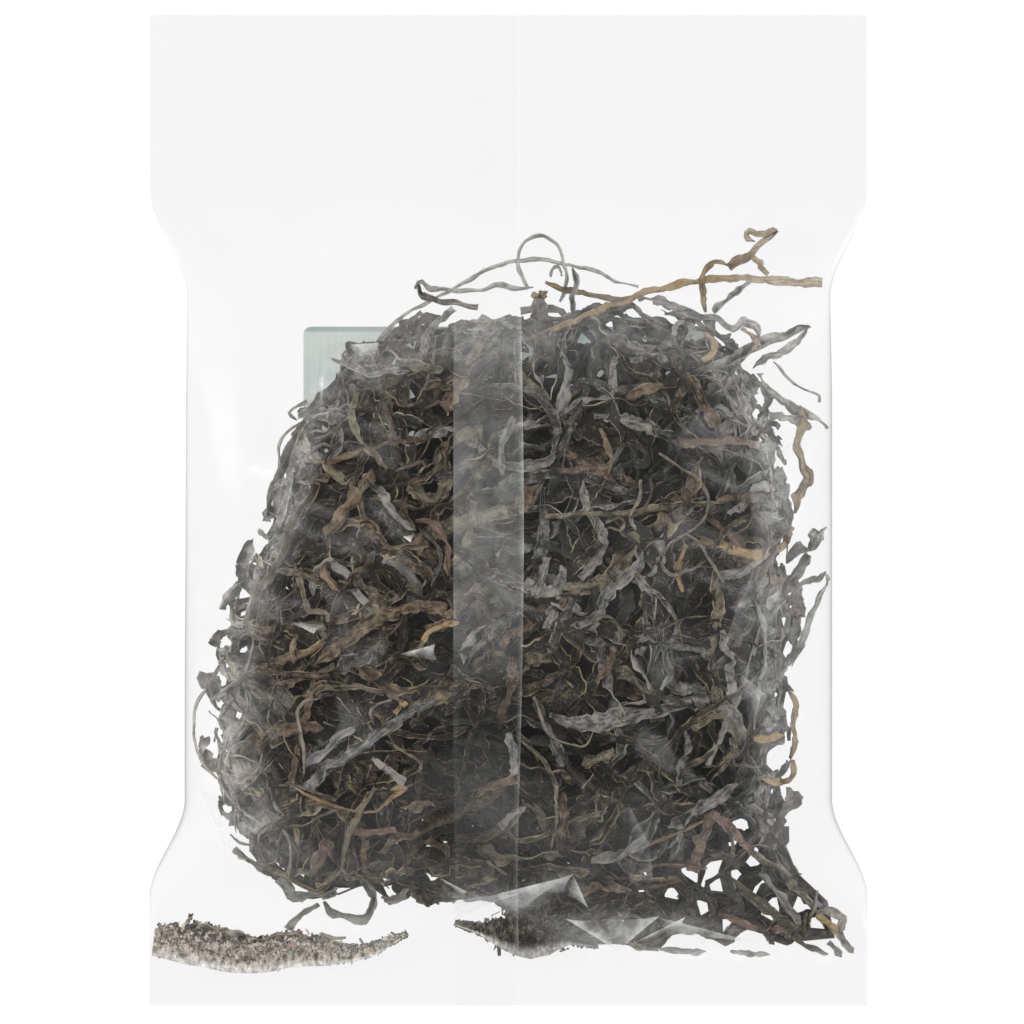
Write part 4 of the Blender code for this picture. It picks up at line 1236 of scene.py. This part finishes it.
def make_core():
    """Rings of growing radius round the heap's middle: height = middle height, plus or minus the
    rest times the root of 1 - (ring / rim)^8, with sine ridges on top."""
    rings, spokes = 50, 200
    share = np.linspace(0.004, CORE_SHARE, rings)[:, None]
    angle = np.linspace(-np.pi, np.pi, spokes, endpoint=False)[None, :]
    radius = outline_radius(angle) * share
    x = HEAP_MIDDLE[0] + radius * np.cos(angle)
    y = HEAP_MIDDLE[1] + radius * np.sin(angle)
    rows, columns = cell(x, y)
    ridges = 0.0012 * rumple(x, y, 23, 16, 0.004, 0.012)
    high = HEAP_MAP[rows, columns] - SHELL_DEPTH + 0.001 + ridges
    low = FLOOR_MAP[rows, columns] + 0.0028 + 0.5 * ridges
    middle = 0.5 * (high + low)
    closing = np.sqrt(1.0 - (share / CORE_SHARE) ** 8)
    upper = np.stack([x, y, middle + np.maximum(high - middle, 0.0005) * closing], axis=-1)
    lower = np.stack([x, y, middle - np.maximum(middle - low, 0.0005) * closing], axis=-1)
    sheet = np.concatenate([upper, lower[::-1][1:]])
    middles = np.array([[*HEAP_MIDDLE, upper[0, :, 2].mean()], [*HEAP_MIDDLE, lower[0, :, 2].mean()]])
    points = np.concatenate([sheet.reshape(-1, 3), middles])
    quads = grid_quads(len(sheet), spokes, closed=True)
    return points, quads, spokes


def fan(ring, middle):
    """Four-sided faces from a ring of points to one middle point, two spokes at a time."""
    pairs = np.arange(0, len(ring), 2)
    after = (pairs + 2) % len(ring)
    return np.stack([ring[pairs], ring[pairs + 1], ring[after], np.full(len(pairs), middle)], axis=-1)


def painted_shade_core_material(name):
    """Painted shade for the heap's unlit inside: kelp darker than the strips, with few pale flecks,
    from the node group's own noise.
    """
    return kelp_material(name, (0.007, 0.0065, 0.0055), (0.036, 0.033, 0.028), TAN_EDGE, 0.0, 0.1)


core_points, core_quads, core_spokes = make_core()
first_ring = np.arange(core_spokes)
last_ring = len(core_points) - 2 - core_spokes + first_ring
core_quads = np.concatenate([core_quads, fan(first_ring[::-1], len(core_points) - 2),
                             fan(last_ring, len(core_points) - 1)])
core = add_piece("kelp_core", build_mesh("kelp_core", core_points, core_quads[:, ::-1]),
                 painted_shade_core_material("kelp_core"))
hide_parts("bag")

# %% [markdown]
# ## Crumbs
#
# Strips break, and their bits gather in the bottom crease: a drift on the left, and a dark patch
# right of the seam. Each bit is a chip, a box with its corners knocked about, and all are one mesh.
# They are laid on each other with the same map of heights as the strips. Some scraps of strip lie on
# the left drift, one of them red-brown.

# %% Crumbs
CRUMBS = 3800
DRIFTS = [  # share of the crumbs, line's points, and the drift's half width at each, in millimetres
    (0.60, [-89.6, -108.7, -78, -110, -70, -112, -62, -112.5, -54, -110.8, -45, -112, -36, -111.3,
            -26, -107.2], [3.8, 5.2, 4.8, 4.2, 4.6, 2.6, 1.6, 0.4]),
    (0.35, [-13, -104.4, -6, -106, 2, -107, 9, -106.3, 15, -107, 19, -108.8, 22, -110],
     [0.5, 1.3, 4.0, 6.6, 6.0, 2.4, 0.1]),
]
CORNERS = np.array([(x, y, z) for z in (-1, 1) for y in (-1, 1) for x in (-1, 1)], float)
BOX_QUADS = np.array([(0, 2, 3, 1), (4, 5, 7, 6), (0, 1, 5, 4), (2, 6, 7, 3), (0, 4, 6, 2), (1, 3, 7, 5)])


def drift_spots(count, line, spread):
    """Points along a line, off to both sides by up to the drift's half width there."""
    along, _ = through(line, 200)
    at = random.uniform(0.0, 1.0, count)
    middle = np.stack([np.interp(at, np.linspace(0.0, 1.0, 200), along[:, k]) for k in range(2)], axis=-1)
    half = np.interp(at, np.linspace(0.0, 1.0, len(spread)), spread) * MM
    off = np.clip(random.normal((0.0, 0.15), 0.45, (count, 2)), -0.8, 1.05) * half[:, None]
    spots = middle + off
    spots[:, 0] = np.maximum(spots[:, 0], random.uniform(-88.8, -87.6, count) * MM)
    return spots


def make_crumb_bed(line, spread):
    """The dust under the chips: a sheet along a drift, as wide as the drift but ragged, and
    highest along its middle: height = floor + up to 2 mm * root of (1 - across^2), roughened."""
    along, _ = through(line, 200)
    forward = unit(np.gradient(along, axis=0))
    side = np.stack([-forward[:, 1], forward[:, 0]], axis=-1)
    half = np.interp(np.linspace(0.0, 1.0, 200), np.linspace(0.0, 1.0, len(spread)), spread) * MM
    across = np.linspace(-1.0, 1.0, 21)[None, :]
    ragged = half[:, None] * (1.0 + blurred(random.normal(0.0, 0.5, 200), 1.8)[:, None]
                              * 0.6 * np.maximum(across, 0.0))
    x = along[:, :1] + side[:, :1] * across * ragged
    y = along[:, 1:] + side[:, 1:] * across * ragged
    rows, columns = cell(x, y)
    rough = 0.55 * MM * rumple(x, y, 41, 16, 0.0012, 0.004)
    mound = np.maximum(2.0 * MM * np.sqrt(np.clip(1.0 - across**2, 0.0, 1.0)) + rough, 0.05 * MM)
    low = FLOOR_MAP[rows, columns]
    high = np.minimum(low + mound, np.maximum(CEILING_MAP[rows, columns] - 0.1 * MM, low + 0.1 * MM))
    np.maximum.at(heap["top"], (rows, columns), high)
    points, quads = closed_sheet(x, y, high, low)
    # Painted haze: the rim attribute pales the bed along its lower edge.
    rim = np.broadcast_to(ramp(across, -0.35, -0.85), x.shape)
    rim = np.concatenate([rim, rim[:, ::-1]], axis=1).ravel()
    return points, quads[:, ::-1], rim


def turning(count):
    """Random turns, as three square directions each: two random vectors made square to each other."""
    first = unit(random.normal(0.0, 1.0, (count, 3)) * (1.0, 1.0, 0.35))
    third = unit(np.cross(first, random.normal(0.0, 1.0, (count, 3))))
    return np.stack([first, np.cross(third, first), third], axis=1)


def make_crumbs(name, drifts):
    """Chips: corner = place + size along three square directions * a random share near 1."""
    spots = np.concatenate([drift_spots(int(CRUMBS * share), line, spread)
                            for share, line, spread in drifts])
    count = len(spots)
    sizes = np.exp(random.normal(0.0, 0.40, (count, 3))) * np.array([1.05, 0.62, 0.26]) * MM
    rows, columns = cell(spots[:, 0], spots[:, 1])
    ground = np.zeros(count)
    for i in range(count):
        patch = heap["top"][rows[i]:rows[i] + 2, columns[i]:columns[i] + 2]
        ground[i] = patch.max()
        patch[:] = np.minimum(patch + 0.5 * sizes[i, 2] + 0.05 * MM, CEILING_MAP[rows[i], columns[i]])
    shares = CORNERS[None] * random.uniform(0.6, 1.3, (count, 8, 3))
    offsets = np.einsum("cks,csd->ckd", 0.5 * shares * sizes[:, None, :], turning(count))
    offsets[..., 2] = np.clip(offsets[..., 2], -0.9 * MM, 0.9 * MM)
    points = np.concatenate([spots, ground[:, None] + 0.2 * MM], axis=1)[:, None, :] + offsets
    points = kept_inside(points)
    quads = (BOX_QUADS[None] + 8 * np.arange(count)[:, None, None]).reshape(-1, 4)
    shade = np.repeat(random.random(count) * (1.0 - 0.5 * ramp(spots[:, 0], -0.006, 0.004)), 8)
    uv = np.tile([[0.5, 0.5]], (8 * count, 1)) + np.repeat(random.random((count, 1)), 8, axis=0) * (0, 9)
    # Painted haze: every chip is paled a little by the rim attribute.
    values = {"shade": shade, "rim": np.full(8 * count, 0.2)}
    return build_mesh(name, points.reshape(-1, 3), quads, uv, values)


CRUMB_FINISHES = {
    "left": ((0.050, 0.043, 0.035), (0.820, 0.740, 0.635), 1.0),
    "right": ((0.022, 0.020, 0.017), (0.230, 0.205, 0.170), 0.35),
}
for side, drifts in (("left", DRIFTS[:1]), ("right", DRIFTS[1:])):
    name = f"{side}_crumb_bed"
    dark, light, bloom = CRUMB_FINISHES[side]
    finish = kelp_material(name, dark, light, TAN_EDGE, 0.0, bloom)
    bed_points, bed_quads, bed_rim = make_crumb_bed(*drifts[0][1:])
    bed_shade = 0.70 - 0.30 * ramp(bed_points[:, 0], -0.010, 0.003)
    # Painted haze on the bed's lower edge, stronger where the bed is lighter.
    bed_values = {"shade": bed_shade, "rim": bed_rim * (0.3 + 0.9 * bed_shade)}
    bed_mesh = build_mesh(name, bed_points, bed_quads, bed_points[:, :2] * 170.0, bed_values)
    add_piece(name, bed_mesh, finish)
    name = f"{side}_crumbs"
    add_piece(name, make_crumbs(name, drifts), finish)

SCRAPS = [
    ("scraps", 2.8, [-78.3, -105, -75, -105.3, -70, -106.7, -63.5, -108.4]),
    ("scraps", 1.6, [-62.4, -108.6, -58, -107.3, -52.6, -106.9]),
    ("scraps", 1.0, [-47, -107.6, -43, -109.4, -37.8, -111]),
    ("scraps", 1.2, [-47.6, -106.8, -44, -108.2, -41, -108]),
    ("scraps", 1.4, [-81, -104.4, -80.2, -101.8]),
    ("scraps", 2.2, [-72, -111.6, -67, -111, -62, -111.8]),
    ("red_scraps", 4.6, [-56.4, -108.4, -54.4, -107.9, -52.4, -107.6]),
    ("red_scraps", 1.6, [-66, -110.4, -62, -109.6]),
]
strips.update(scraps=[], red_scraps=[])
set_out(SCRAPS)
for kind, dark, light in (("scraps", (0.040, 0.031, 0.024), (0.330, 0.280, 0.220)),
                          ("red_scraps", (0.130, 0.060, 0.042), (0.480, 0.235, 0.160))):
    name = f"kelp_{kind}"
    add_piece(name, joined_strips(name, strips[kind]), kelp_material(name, dark, light, TAN_EDGE))

# %% [markdown]
# ## The film
#
# Clear film is nearly invisible face on, and mirrors its surroundings at a slant. How much it mirrors
# follows one curve: 0.06 face on, rising with the fifth power of the slant. That curve mixes a
# see-through shader with a glossy one. Film also scatters a little light, as a white haze, where it is
# creased, rubbed or doubled. The same white is also painted reflection and painted glints, where the
# film's slopes and folds would mirror the lights. How much white lies where is stored on the mesh as
# a point attribute.

# %% Film material
def film_material(name, face_on, base_veil, patchy):
    """Mix of see-through and glossy by face_on + (1 - face_on) * slant^5, then of that and white by
    the haze_and_glint attribute, partly haze and partly painted reflection, which patchy breaks up
    into soft streaks."""
    material, tree, shader = new_material(name)
    output = tree.nodes["Material Output"]
    shader.inputs["Base Color"].default_value = (0.90, 0.90, 0.89, 1.0)
    shader.inputs["Roughness"].default_value = 0.45
    facing = add_node(tree, "ShaderNodeLayerWeight", Blend=0.5).outputs["Facing"]
    shine = math(tree, "MULTIPLY_ADD", math(tree, "POWER", facing, 5.0), 1.0 - face_on, face_on)
    clear = add_node(tree, "ShaderNodeBsdfTransparent", Color=(1.0, 1.0, 1.0, 1.0)).outputs[0]
    gloss = add_node(tree, "ShaderNodeBsdfAnisotropic", Roughness=0.2).outputs[0]
    film = add_node(tree, "ShaderNodeMixShader", i0=shine, i1=clear, i2=gloss).outputs[0]
    streaks = spread_range(tree, noise(tree, object_place(tree), 170.0, 5.0, 0.6), 0.35, 0.68,
                           1.0 - 0.65 * patchy, 1.0 + 0.5 * patchy)
    haze_and_glint = math(tree, "MULTIPLY_ADD", attribute(tree, "haze_and_glint"), streaks, base_veil, clamp=True)
    whitening = add_node(tree, "ShaderNodeMixShader", i0=haze_and_glint, i1=film, i2=shader.outputs[0]).outputs[0]
    tree.links.new(whitening, output.inputs["Surface"])
    return material


# %% Haze and painted reflections on the film
# Soft white patches on the film: partly the haze of rubbed, creased and doubled film, and partly painted
# reflection of the lights, such as the bands down the right shoulder and the white along the foot.
HAZE_AND_GLINT_PATCHES = [  # x, y, half length, half width in millimetres, turn in degrees, strength
    (59, -20, 28, 5, 90, 0.03), (66.5, 11, 5, 6, 0, 0.09), (57, -31, 9, 4, 60, 0.03),
    (-65, -76, 12, 6, 35, 0.06), (-64, -56, 12, 5, 70, 0.03), (-22, -44, 26, 7, 35, 0.015),
    (-6, -99, 9, 3, 0, 0.25), (25, -106, 12, 4.5, 0, 0.20), (46, -105, 12, 3, -5, 0.09),
    (-33, 38, 7, 5, 0, 0.06), (8, -96, 11, 3, 25, 0.09), (32, -83, 4, 13, 0, 0.03),
    (-36, -108, 12, 3, 5, 0.10), (20, 40, 34, 9, -5, 0.025), (-66, -90, 6, 3, 30, 0.07),
    (56, -112.4, 34, 1.8, -1, 0.28), (-66, -115.6, 22, 0.9, -3, 0.20), (30, 8, 30, 22, 0, 0.008), (18, -22, 34, 24, 0, 0.012),
]


def haze_and_glint_at(x, y):
    """The sum of soft patches, partly haze and partly painted reflection, and more over the heap's
    rim as painted haze, and along the tops of creases, where creased film whitens.
    """
    haze_and_glint = np.zeros(np.broadcast(x, y).shape)
    for middle_x, middle_y, long, short, turn, strength in HAZE_AND_GLINT_PATCHES:
        cosine, sine = np.cos(np.radians(turn)), np.sin(np.radians(turn))
        dx, dy = x - middle_x * MM, y - middle_y * MM
        along = (dx * cosine + dy * sine) / (long * MM)
        beside = (dy * cosine - dx * sine) / (short * MM)
        haze_and_glint += strength * np.exp(-(along**2 + beside**2))
    out = outwardness(x, y)
    haze_and_glint += 0.075 * ramp(out, 0.82, 0.93) * ramp(out, 1.10, 1.0) * ramp(y, -0.098, -0.085)
    return haze_and_glint + 0.05 * ramp(crease_relief(x, y), 0.2 * MM, 0.6 * MM)


film_points, film_quads = make_film()
upper_side = np.tile(np.arange(2 * FILM_COLUMNS) < FILM_COLUMNS, FILM_ROWS)
film_haze_and_glint = np.where(upper_side, haze_and_glint_at(film_points[:, 0], film_points[:, 1]), 0.0)
film = add_piece("film", build_mesh("film", film_points, film_quads, values={"haze_and_glint": film_haze_and_glint}),
                 film_material("clear_film", 0.062, 0.004, 1.0))
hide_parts("bag")

# %% [markdown]
# ## The back seam
#
# The tube is closed by lapping its two long edges on its back and sealing them, which leaves a strip
# of doubled film from end to end. Its free edge stands up as a thin bead. The seam's white is partly
# the haze of doubled film and partly painted light: a painted reflection over its upper middle, a
# painted highlight along the bead, and a brighter painted wedge where it folds.

# %% Back seam
SEAM_LIFT = 0.00032
SEAM_THICKNESS = 0.00012
SEAM_BEAD = 0.00022


def make_seam():
    """A closed strip: x across the lap, y from end to end, and z on the film's height plus the lift,
    with a bell-shaped bead along the right edge."""
    y = np.linspace(-HALF_LENGTH + 0.0003, HALF_LENGTH - 0.0003, 420)[:, None]
    right = SEAM_RIGHT + 0.0009 * bell(y, -0.004, 0.05) - 0.0006 * bell(y, -0.09, 0.03)
    share = np.linspace(0.0, 1.0, 19)[None, :] ** 0.7
    x = SEAM_LEFT + (right - SEAM_LEFT) * share
    y = np.broadcast_to(y, x.shape)
    bead = SEAM_BEAD * bell(share, 1.0, 0.04)
    low = back_skin(x, y) + SEAM_LIFT
    points, quads = closed_sheet(x, y, low + SEAM_THICKNESS + bead, low)
    # Painted light: a painted reflection over the seam's upper middle, partly the haze of doubled film; a
    # painted highlight along the bead; and a brighter painted wedge where the seam folds.
    seam_haze_and_reflection = 0.003 + 0.098 * ramp(y, 0.052, 0.044) * (1.0 - 0.97 * ramp(y, -0.020, -0.050))
    bead_highlight = 0.16 * bell(share, 1.0, 0.035) + 0.02 * bell(share, 0.0, 0.02)
    slant = x - SEAM_LEFT - 0.35 * (0.024 - y)
    wedge = 0.03 * ramp(slant, 0.0004, -0.0004) * ramp(y, 0.026, 0.022) * ramp(y, -0.020, 0.002)
    haze_and_glint = seam_haze_and_reflection + bead_highlight + wedge
    haze_and_glint = np.concatenate([haze_and_glint, np.zeros(haze_and_glint.shape)], axis=1).ravel()
    return build_mesh("back_seam", points, quads, values={"haze_and_glint": haze_and_glint})


add_piece("back_seam", make_seam(), film_material("seam_film", 0.004, 0.0, 0.6))

# %% [markdown]
# ## Glint facets
#
# Where a strip's end pushes at the film, or a fold of it catches the light, a small flat facet shines
# white, with crisp edges. Each is a painted glint: a thin three-cornered plate just under the film,
# made white with the film's white haze mix instead of by a reflection, and drawn as rows that widen
# from one corner to the side across from it. The painted glint is brightest along the side from that
# corner to the next, and fades away from there.

# %% Facets
GLINT_FACETS = [  # how bright each painted glint is, and three corners in millimetres
    (0.45, (-40, 41), (-32, 41.5), (-33, 34)), (0.45, (-54, -27.5), (-48, -30.5), (-45, -28.5)),
    (0.50, (-27, -35.5), (-18, -33), (-17.5, -37)), (0.50, (-26, -6.4), (-24, -8), (-23, -6)),
    (0.40, (-12, -35), (-11, -38), (-9.8, -36)), (0.40, (-47, 33), (-45.6, 33), (-46, 22)),
    # The wedge at the seam's foot, and the ridges that run up from it.
    (0.60, (-14, -98.5), (3, -96.6), (-14, -103.5)), (0.55, (-8, -98.4), (16.5, -91.2), (4, -100.5)),
    (0.45, (3, -97), (16.5, -90.8), (14, -96)), (0.50, (16.2, -91.2), (20, -100), (15, -97)),
    (0.50, (-18, -92.2), (-10.4, -96.4), (-10.8, -98)), (0.55, (27.8, -111.4), (14.4, -103.0), (22, -103)),
    (0.50, (27.8, -111.2), (38, -102.4), (24, -103)), (0.60, (31, -109.6), (44.6, -102.4), (44.6, -105)),
    (0.40, (38, -102.6), (63, -109.2), (40, -107)), (0.55, (46, -106), (49, -109.6), (51, -109.4)),
    # The left foot, and the painted reflections on the right.
    (0.40, (-77, -69), (-73.5, -71), (-70.6, -83)), (0.70, (-73.2, -71), (-72.4, -71.2), (-70.4, -83)),
    (0.09, (-70, -83), (-56, -76), (-62, -70)), (0.07, (61, -14), (56.5, -24), (60.4, -25)),
    (0.07, (56.5, -24), (52.6, -35), (58.6, -34)), (0.08, (58, 4), (67, 2), (63, -8)),
    (0.10, (62, 17), (71, 16), (66, 5)), (0.08, (29.4, -72), (35, -83), (30.6, -94)),
    (0.08, (35, -83), (36.2, -93), (30.6, -94)), (0.10, (57, -40), (64, -46), (60, -56)),
]


def make_glint_facets():
    """Point = corner + share of the way to the far side, at the film's height less its own depth."""
    points, quads, facet_glint_lists, shift = [], [], [], 0
    for number, (whitening, *corners) in enumerate(GLINT_FACETS):
        corner, left, right = np.array(corners) * MM
        share = np.linspace(0.04, 1.0, 14)[:, None]
        turn = np.linspace(0.0, 1.0, 9)[None, :]
        hollow = share * (1.0 - 0.06 * np.sin(np.pi * turn) * share)
        x = corner[0] + hollow * ((left[0] - corner[0]) * (1.0 - turn) + (right[0] - corner[0]) * turn)
        y = corner[1] + hollow * ((left[1] - corner[1]) * (1.0 - turn) + (right[1] - corner[1]) * turn)
        high = back_skin(x, y) - (0.10 + 0.02 * (number % 5)) * MM
        # Painted highlight: brightest along one side of the facet and fading across it.
        haze_and_glint = whitening * (0.12 + 0.88 * (1.0 - turn) ** 1.6) * (0.4 + 0.6 * ramp(share, 0.0, 0.3))
        if np.cross(left - corner, right - corner) > 0:
            x, y, high, haze_and_glint = x[:, ::-1], y[:, ::-1], high[:, ::-1], haze_and_glint[:, ::-1]
        made, faces = closed_sheet(x, y, high, high - 0.01 * MM)
        points.append(made)
        quads.append(faces + shift)
        facet_glint_lists.append(np.concatenate([haze_and_glint, haze_and_glint[:, ::-1]], axis=1).ravel())
        shift += len(made)
    return build_mesh("film_glint_facets", np.concatenate(points), np.concatenate(quads),
                      values={"haze_and_glint": np.concatenate(facet_glint_lists)})


add_piece("film_glint_facets", make_glint_facets(), film_material("glint_film", 0.01, 0.0, 1.0))

# %% [markdown]
# ## The label
#
# The label is on the far side of the bag. Its shape in the imported model is right, so only its finish
# is made here. Its back shows through the film: pale grey-green paper with faint paler upright streaks,
# greener at the middle of its top edge, where print shows through. Its front has plain fields of pale
# green. Both are on one thin plate, so the height tells the back from the front.

# %% Label material
PALE_GREEN = (0.70, 0.79, 0.74, 1.0)
SOFT_GREEN = (0.36, 0.57, 0.48, 1.0)
PAPER_BACK = (0.75, 0.73, 0.725, 1.0)
PALE_STREAK = (0.92, 0.905, 0.905, 1.0)
PRINT_THROUGH = (0.11, 0.33, 0.25, 1.0)
EDGE_LINE = (0.20, 0.27, 0.25, 1.0)


def make_label_group():
    """Colour of the label: fields on its front by height along Y, and a streaked back."""
    group, given, result = new_group("label_print", {"Front Low": "Float"})
    place = object_place(group)
    x, y, z = add_node(group, "ShaderNodeSeparateXYZ", i0=place).outputs
    back = spread_range(group, z, 0.45 * LABEL_HIGH.z, 0.55 * LABEL_HIGH.z)
    top_field = spread_range(group, y, LABEL_HIGH.y - 0.0265, LABEL_HIGH.y - 0.0260)
    low_field = spread_range(group, y, given["Front Low"], math(group, "SUBTRACT", given["Front Low"], 0.0005))
    front = mix_colour(group, math(group, "MAXIMUM", top_field, low_field), PALE_GREEN, SOFT_GREEN)
    upright = add_node(group, "ShaderNodeMapping", Vector=place, Scale=(900.0, 45.0, 1.0)).outputs[0]
    streaks = spread_range(group, noise(group, upright, 1.0, 3.0, 0.6), 0.45, 0.72)
    paper = mix_colour(group, math(group, "MULTIPLY", streaks, 0.8), PAPER_BACK, PALE_STREAK)
    from_middle = math(group, "ABSOLUTE", math(group, "SUBTRACT", x, 0.005))
    green = math(group, "MULTIPLY", spread_range(group, from_middle, 0.034, 0.016),
                 spread_range(group, y, LABEL_HIGH.y - 0.020, LABEL_HIGH.y - 0.010))
    blot = spread_range(group, noise(group, place, 200.0, 2.0), 0.35, 0.6)
    paper = mix_colour(group, math(group, "MULTIPLY", green, blot), paper, PRINT_THROUGH)
    line = spread_range(group, y, LABEL_HIGH.y - 0.0016, LABEL_HIGH.y - 0.0010)
    paper = mix_colour(group, math(group, "MULTIPLY", line, 0.75), paper, EDGE_LINE)
    fibres = noise(group, place, 2500.0, 3.0)
    bump = add_node(group, "ShaderNodeBump", Strength=0.15, Distance=0.0001, Height=fibres).outputs[0]
    group.links.new(mix_colour(group, back, front, paper), result["Color"])
    group.links.new(spread_range(group, fibres, 0.3, 0.7, 0.38, 0.55), result["Roughness"])
    group.links.new(bump, result["Normal"])
    return group


def label_material(name):
    """The label's finish, mixed with light that comes through the thin paper from behind."""
    material = group_material(name, make_label_group(), 0.4, Front_Low=LABEL_LOW.y + 0.012)
    tree = material.node_tree
    colour = tree.nodes["Group"].outputs["Color"]
    paper = tree.nodes["Principled BSDF"].outputs[0]
    lit = mix_colour(tree, 0.65, colour, (1.0, 1.0, 1.0, 1.0))
    through_paper = add_node(tree, "ShaderNodeBsdfTranslucent", Color=lit).outputs[0]
    mixed = add_node(tree, "ShaderNodeMixShader", i0=0.6, i1=paper, i2=through_paper).outputs[0]
    tree.links.new(mixed, tree.nodes["Material Output"].inputs["Surface"])
    return material


label_paper = label_material("label_paper")
label = bpy.data.objects["label"]
for material_slot in label.material_slots:
    material_slot.material = label_paper

# %% [markdown]
# ## Floor and lights
#
# The floor is plain white and slightly lit from within, so that it stays pure white round the bag
# and light comes up through the film. Two big soft lights are hidden from mirror reflections,
# because film shows them as grey patches. Two thin strips of light do draw bright lines along its
# folds. The sky is dim overhead, which the film mirrors face on, and bright near the horizon.

# %% Floor
def make_floor():
    half, height = 3.0, -0.0002
    corners = [(-half, -half, height), (half, -half, height), (half, half, height), (-half, half, height)]
    mesh = bpy.data.meshes.new("floor")
    mesh.from_pydata(corners, [], [(0, 1, 2, 3)])
    material, tree, shader = new_material("floor")
    shader.inputs["Base Color"].default_value = (0.05, 0.05, 0.05, 1.0)
    shader.inputs["Roughness"].default_value = 0.9
    shader.inputs["Specular IOR Level"].default_value = 0.0
    shader.inputs["Emission Color"].default_value = (1.0, 1.0, 1.0, 1.0)
    mirrored = add_node(tree, "ShaderNodeLightPath").outputs["Is Glossy Ray"]
    strength = math(tree, "MULTIPLY_ADD", mirrored, -0.45, 0.97)
    tree.links.new(strength, shader.inputs["Emission Strength"])
    mesh.materials.append(material)
    floor = bpy.data.objects.new("floor", mesh)
    bpy.context.scene.collection.objects.link(floor)


make_floor()


# %% Lights and sky
def add_light(name, place, aim, size, power, mirrored=True):
    data = bpy.data.lights.new(name, "AREA")
    data.shape = "RECTANGLE"
    data.size, data.size_y = size
    data.energy = power
    lamp = bpy.data.objects.new(name, data)
    lamp.visible_glossy = mirrored
    lamp.location = place
    lamp.rotation_euler = (Vector(aim) - Vector(place)).to_track_quat("-Z", "Y").to_euler()
    bpy.context.scene.collection.objects.link(lamp)


add_light("left_softbox", (-0.9, 0.25, 1.0), (0, 0, 0), (0.7, 1.0), 15.0, mirrored=False)
add_light("right_softbox", (0.9, 0.1, 0.8), (0, 0, 0), (0.7, 1.0), 8.0, mirrored=False)
add_light("left_strip", (-1.0, -0.1, 0.75), (0, 0, 0), (0.12, 1.2), 1.0)
add_light("right_strip", (1.0, 0.1, 0.75), (0, 0, 0), (0.12, 1.2), 1.2)

sky = bpy.data.worlds.new("studio")
bpy.context.scene.world = sky
sky.use_nodes = True
direction = add_node(sky.node_tree, "ShaderNodeTexCoord").outputs["Generated"]
height = add_node(sky.node_tree, "ShaderNodeSeparateXYZ", i0=direction).outputs["Z"]
brightness = add_node(sky.node_tree, "ShaderNodeMapRange", Value=height, From_Min=0.3, From_Max=1.0,
                      To_Min=0.55, To_Max=0.10).outputs[0]
sky.node_tree.links.new(brightness, sky.node_tree.nodes["Background"].inputs["Strength"])
sky.node_tree.nodes["Background"].inputs["Color"].default_value = (1.0, 1.0, 1.0, 1.0)

bpy.context.scene.view_settings.view_transform = "Standard"
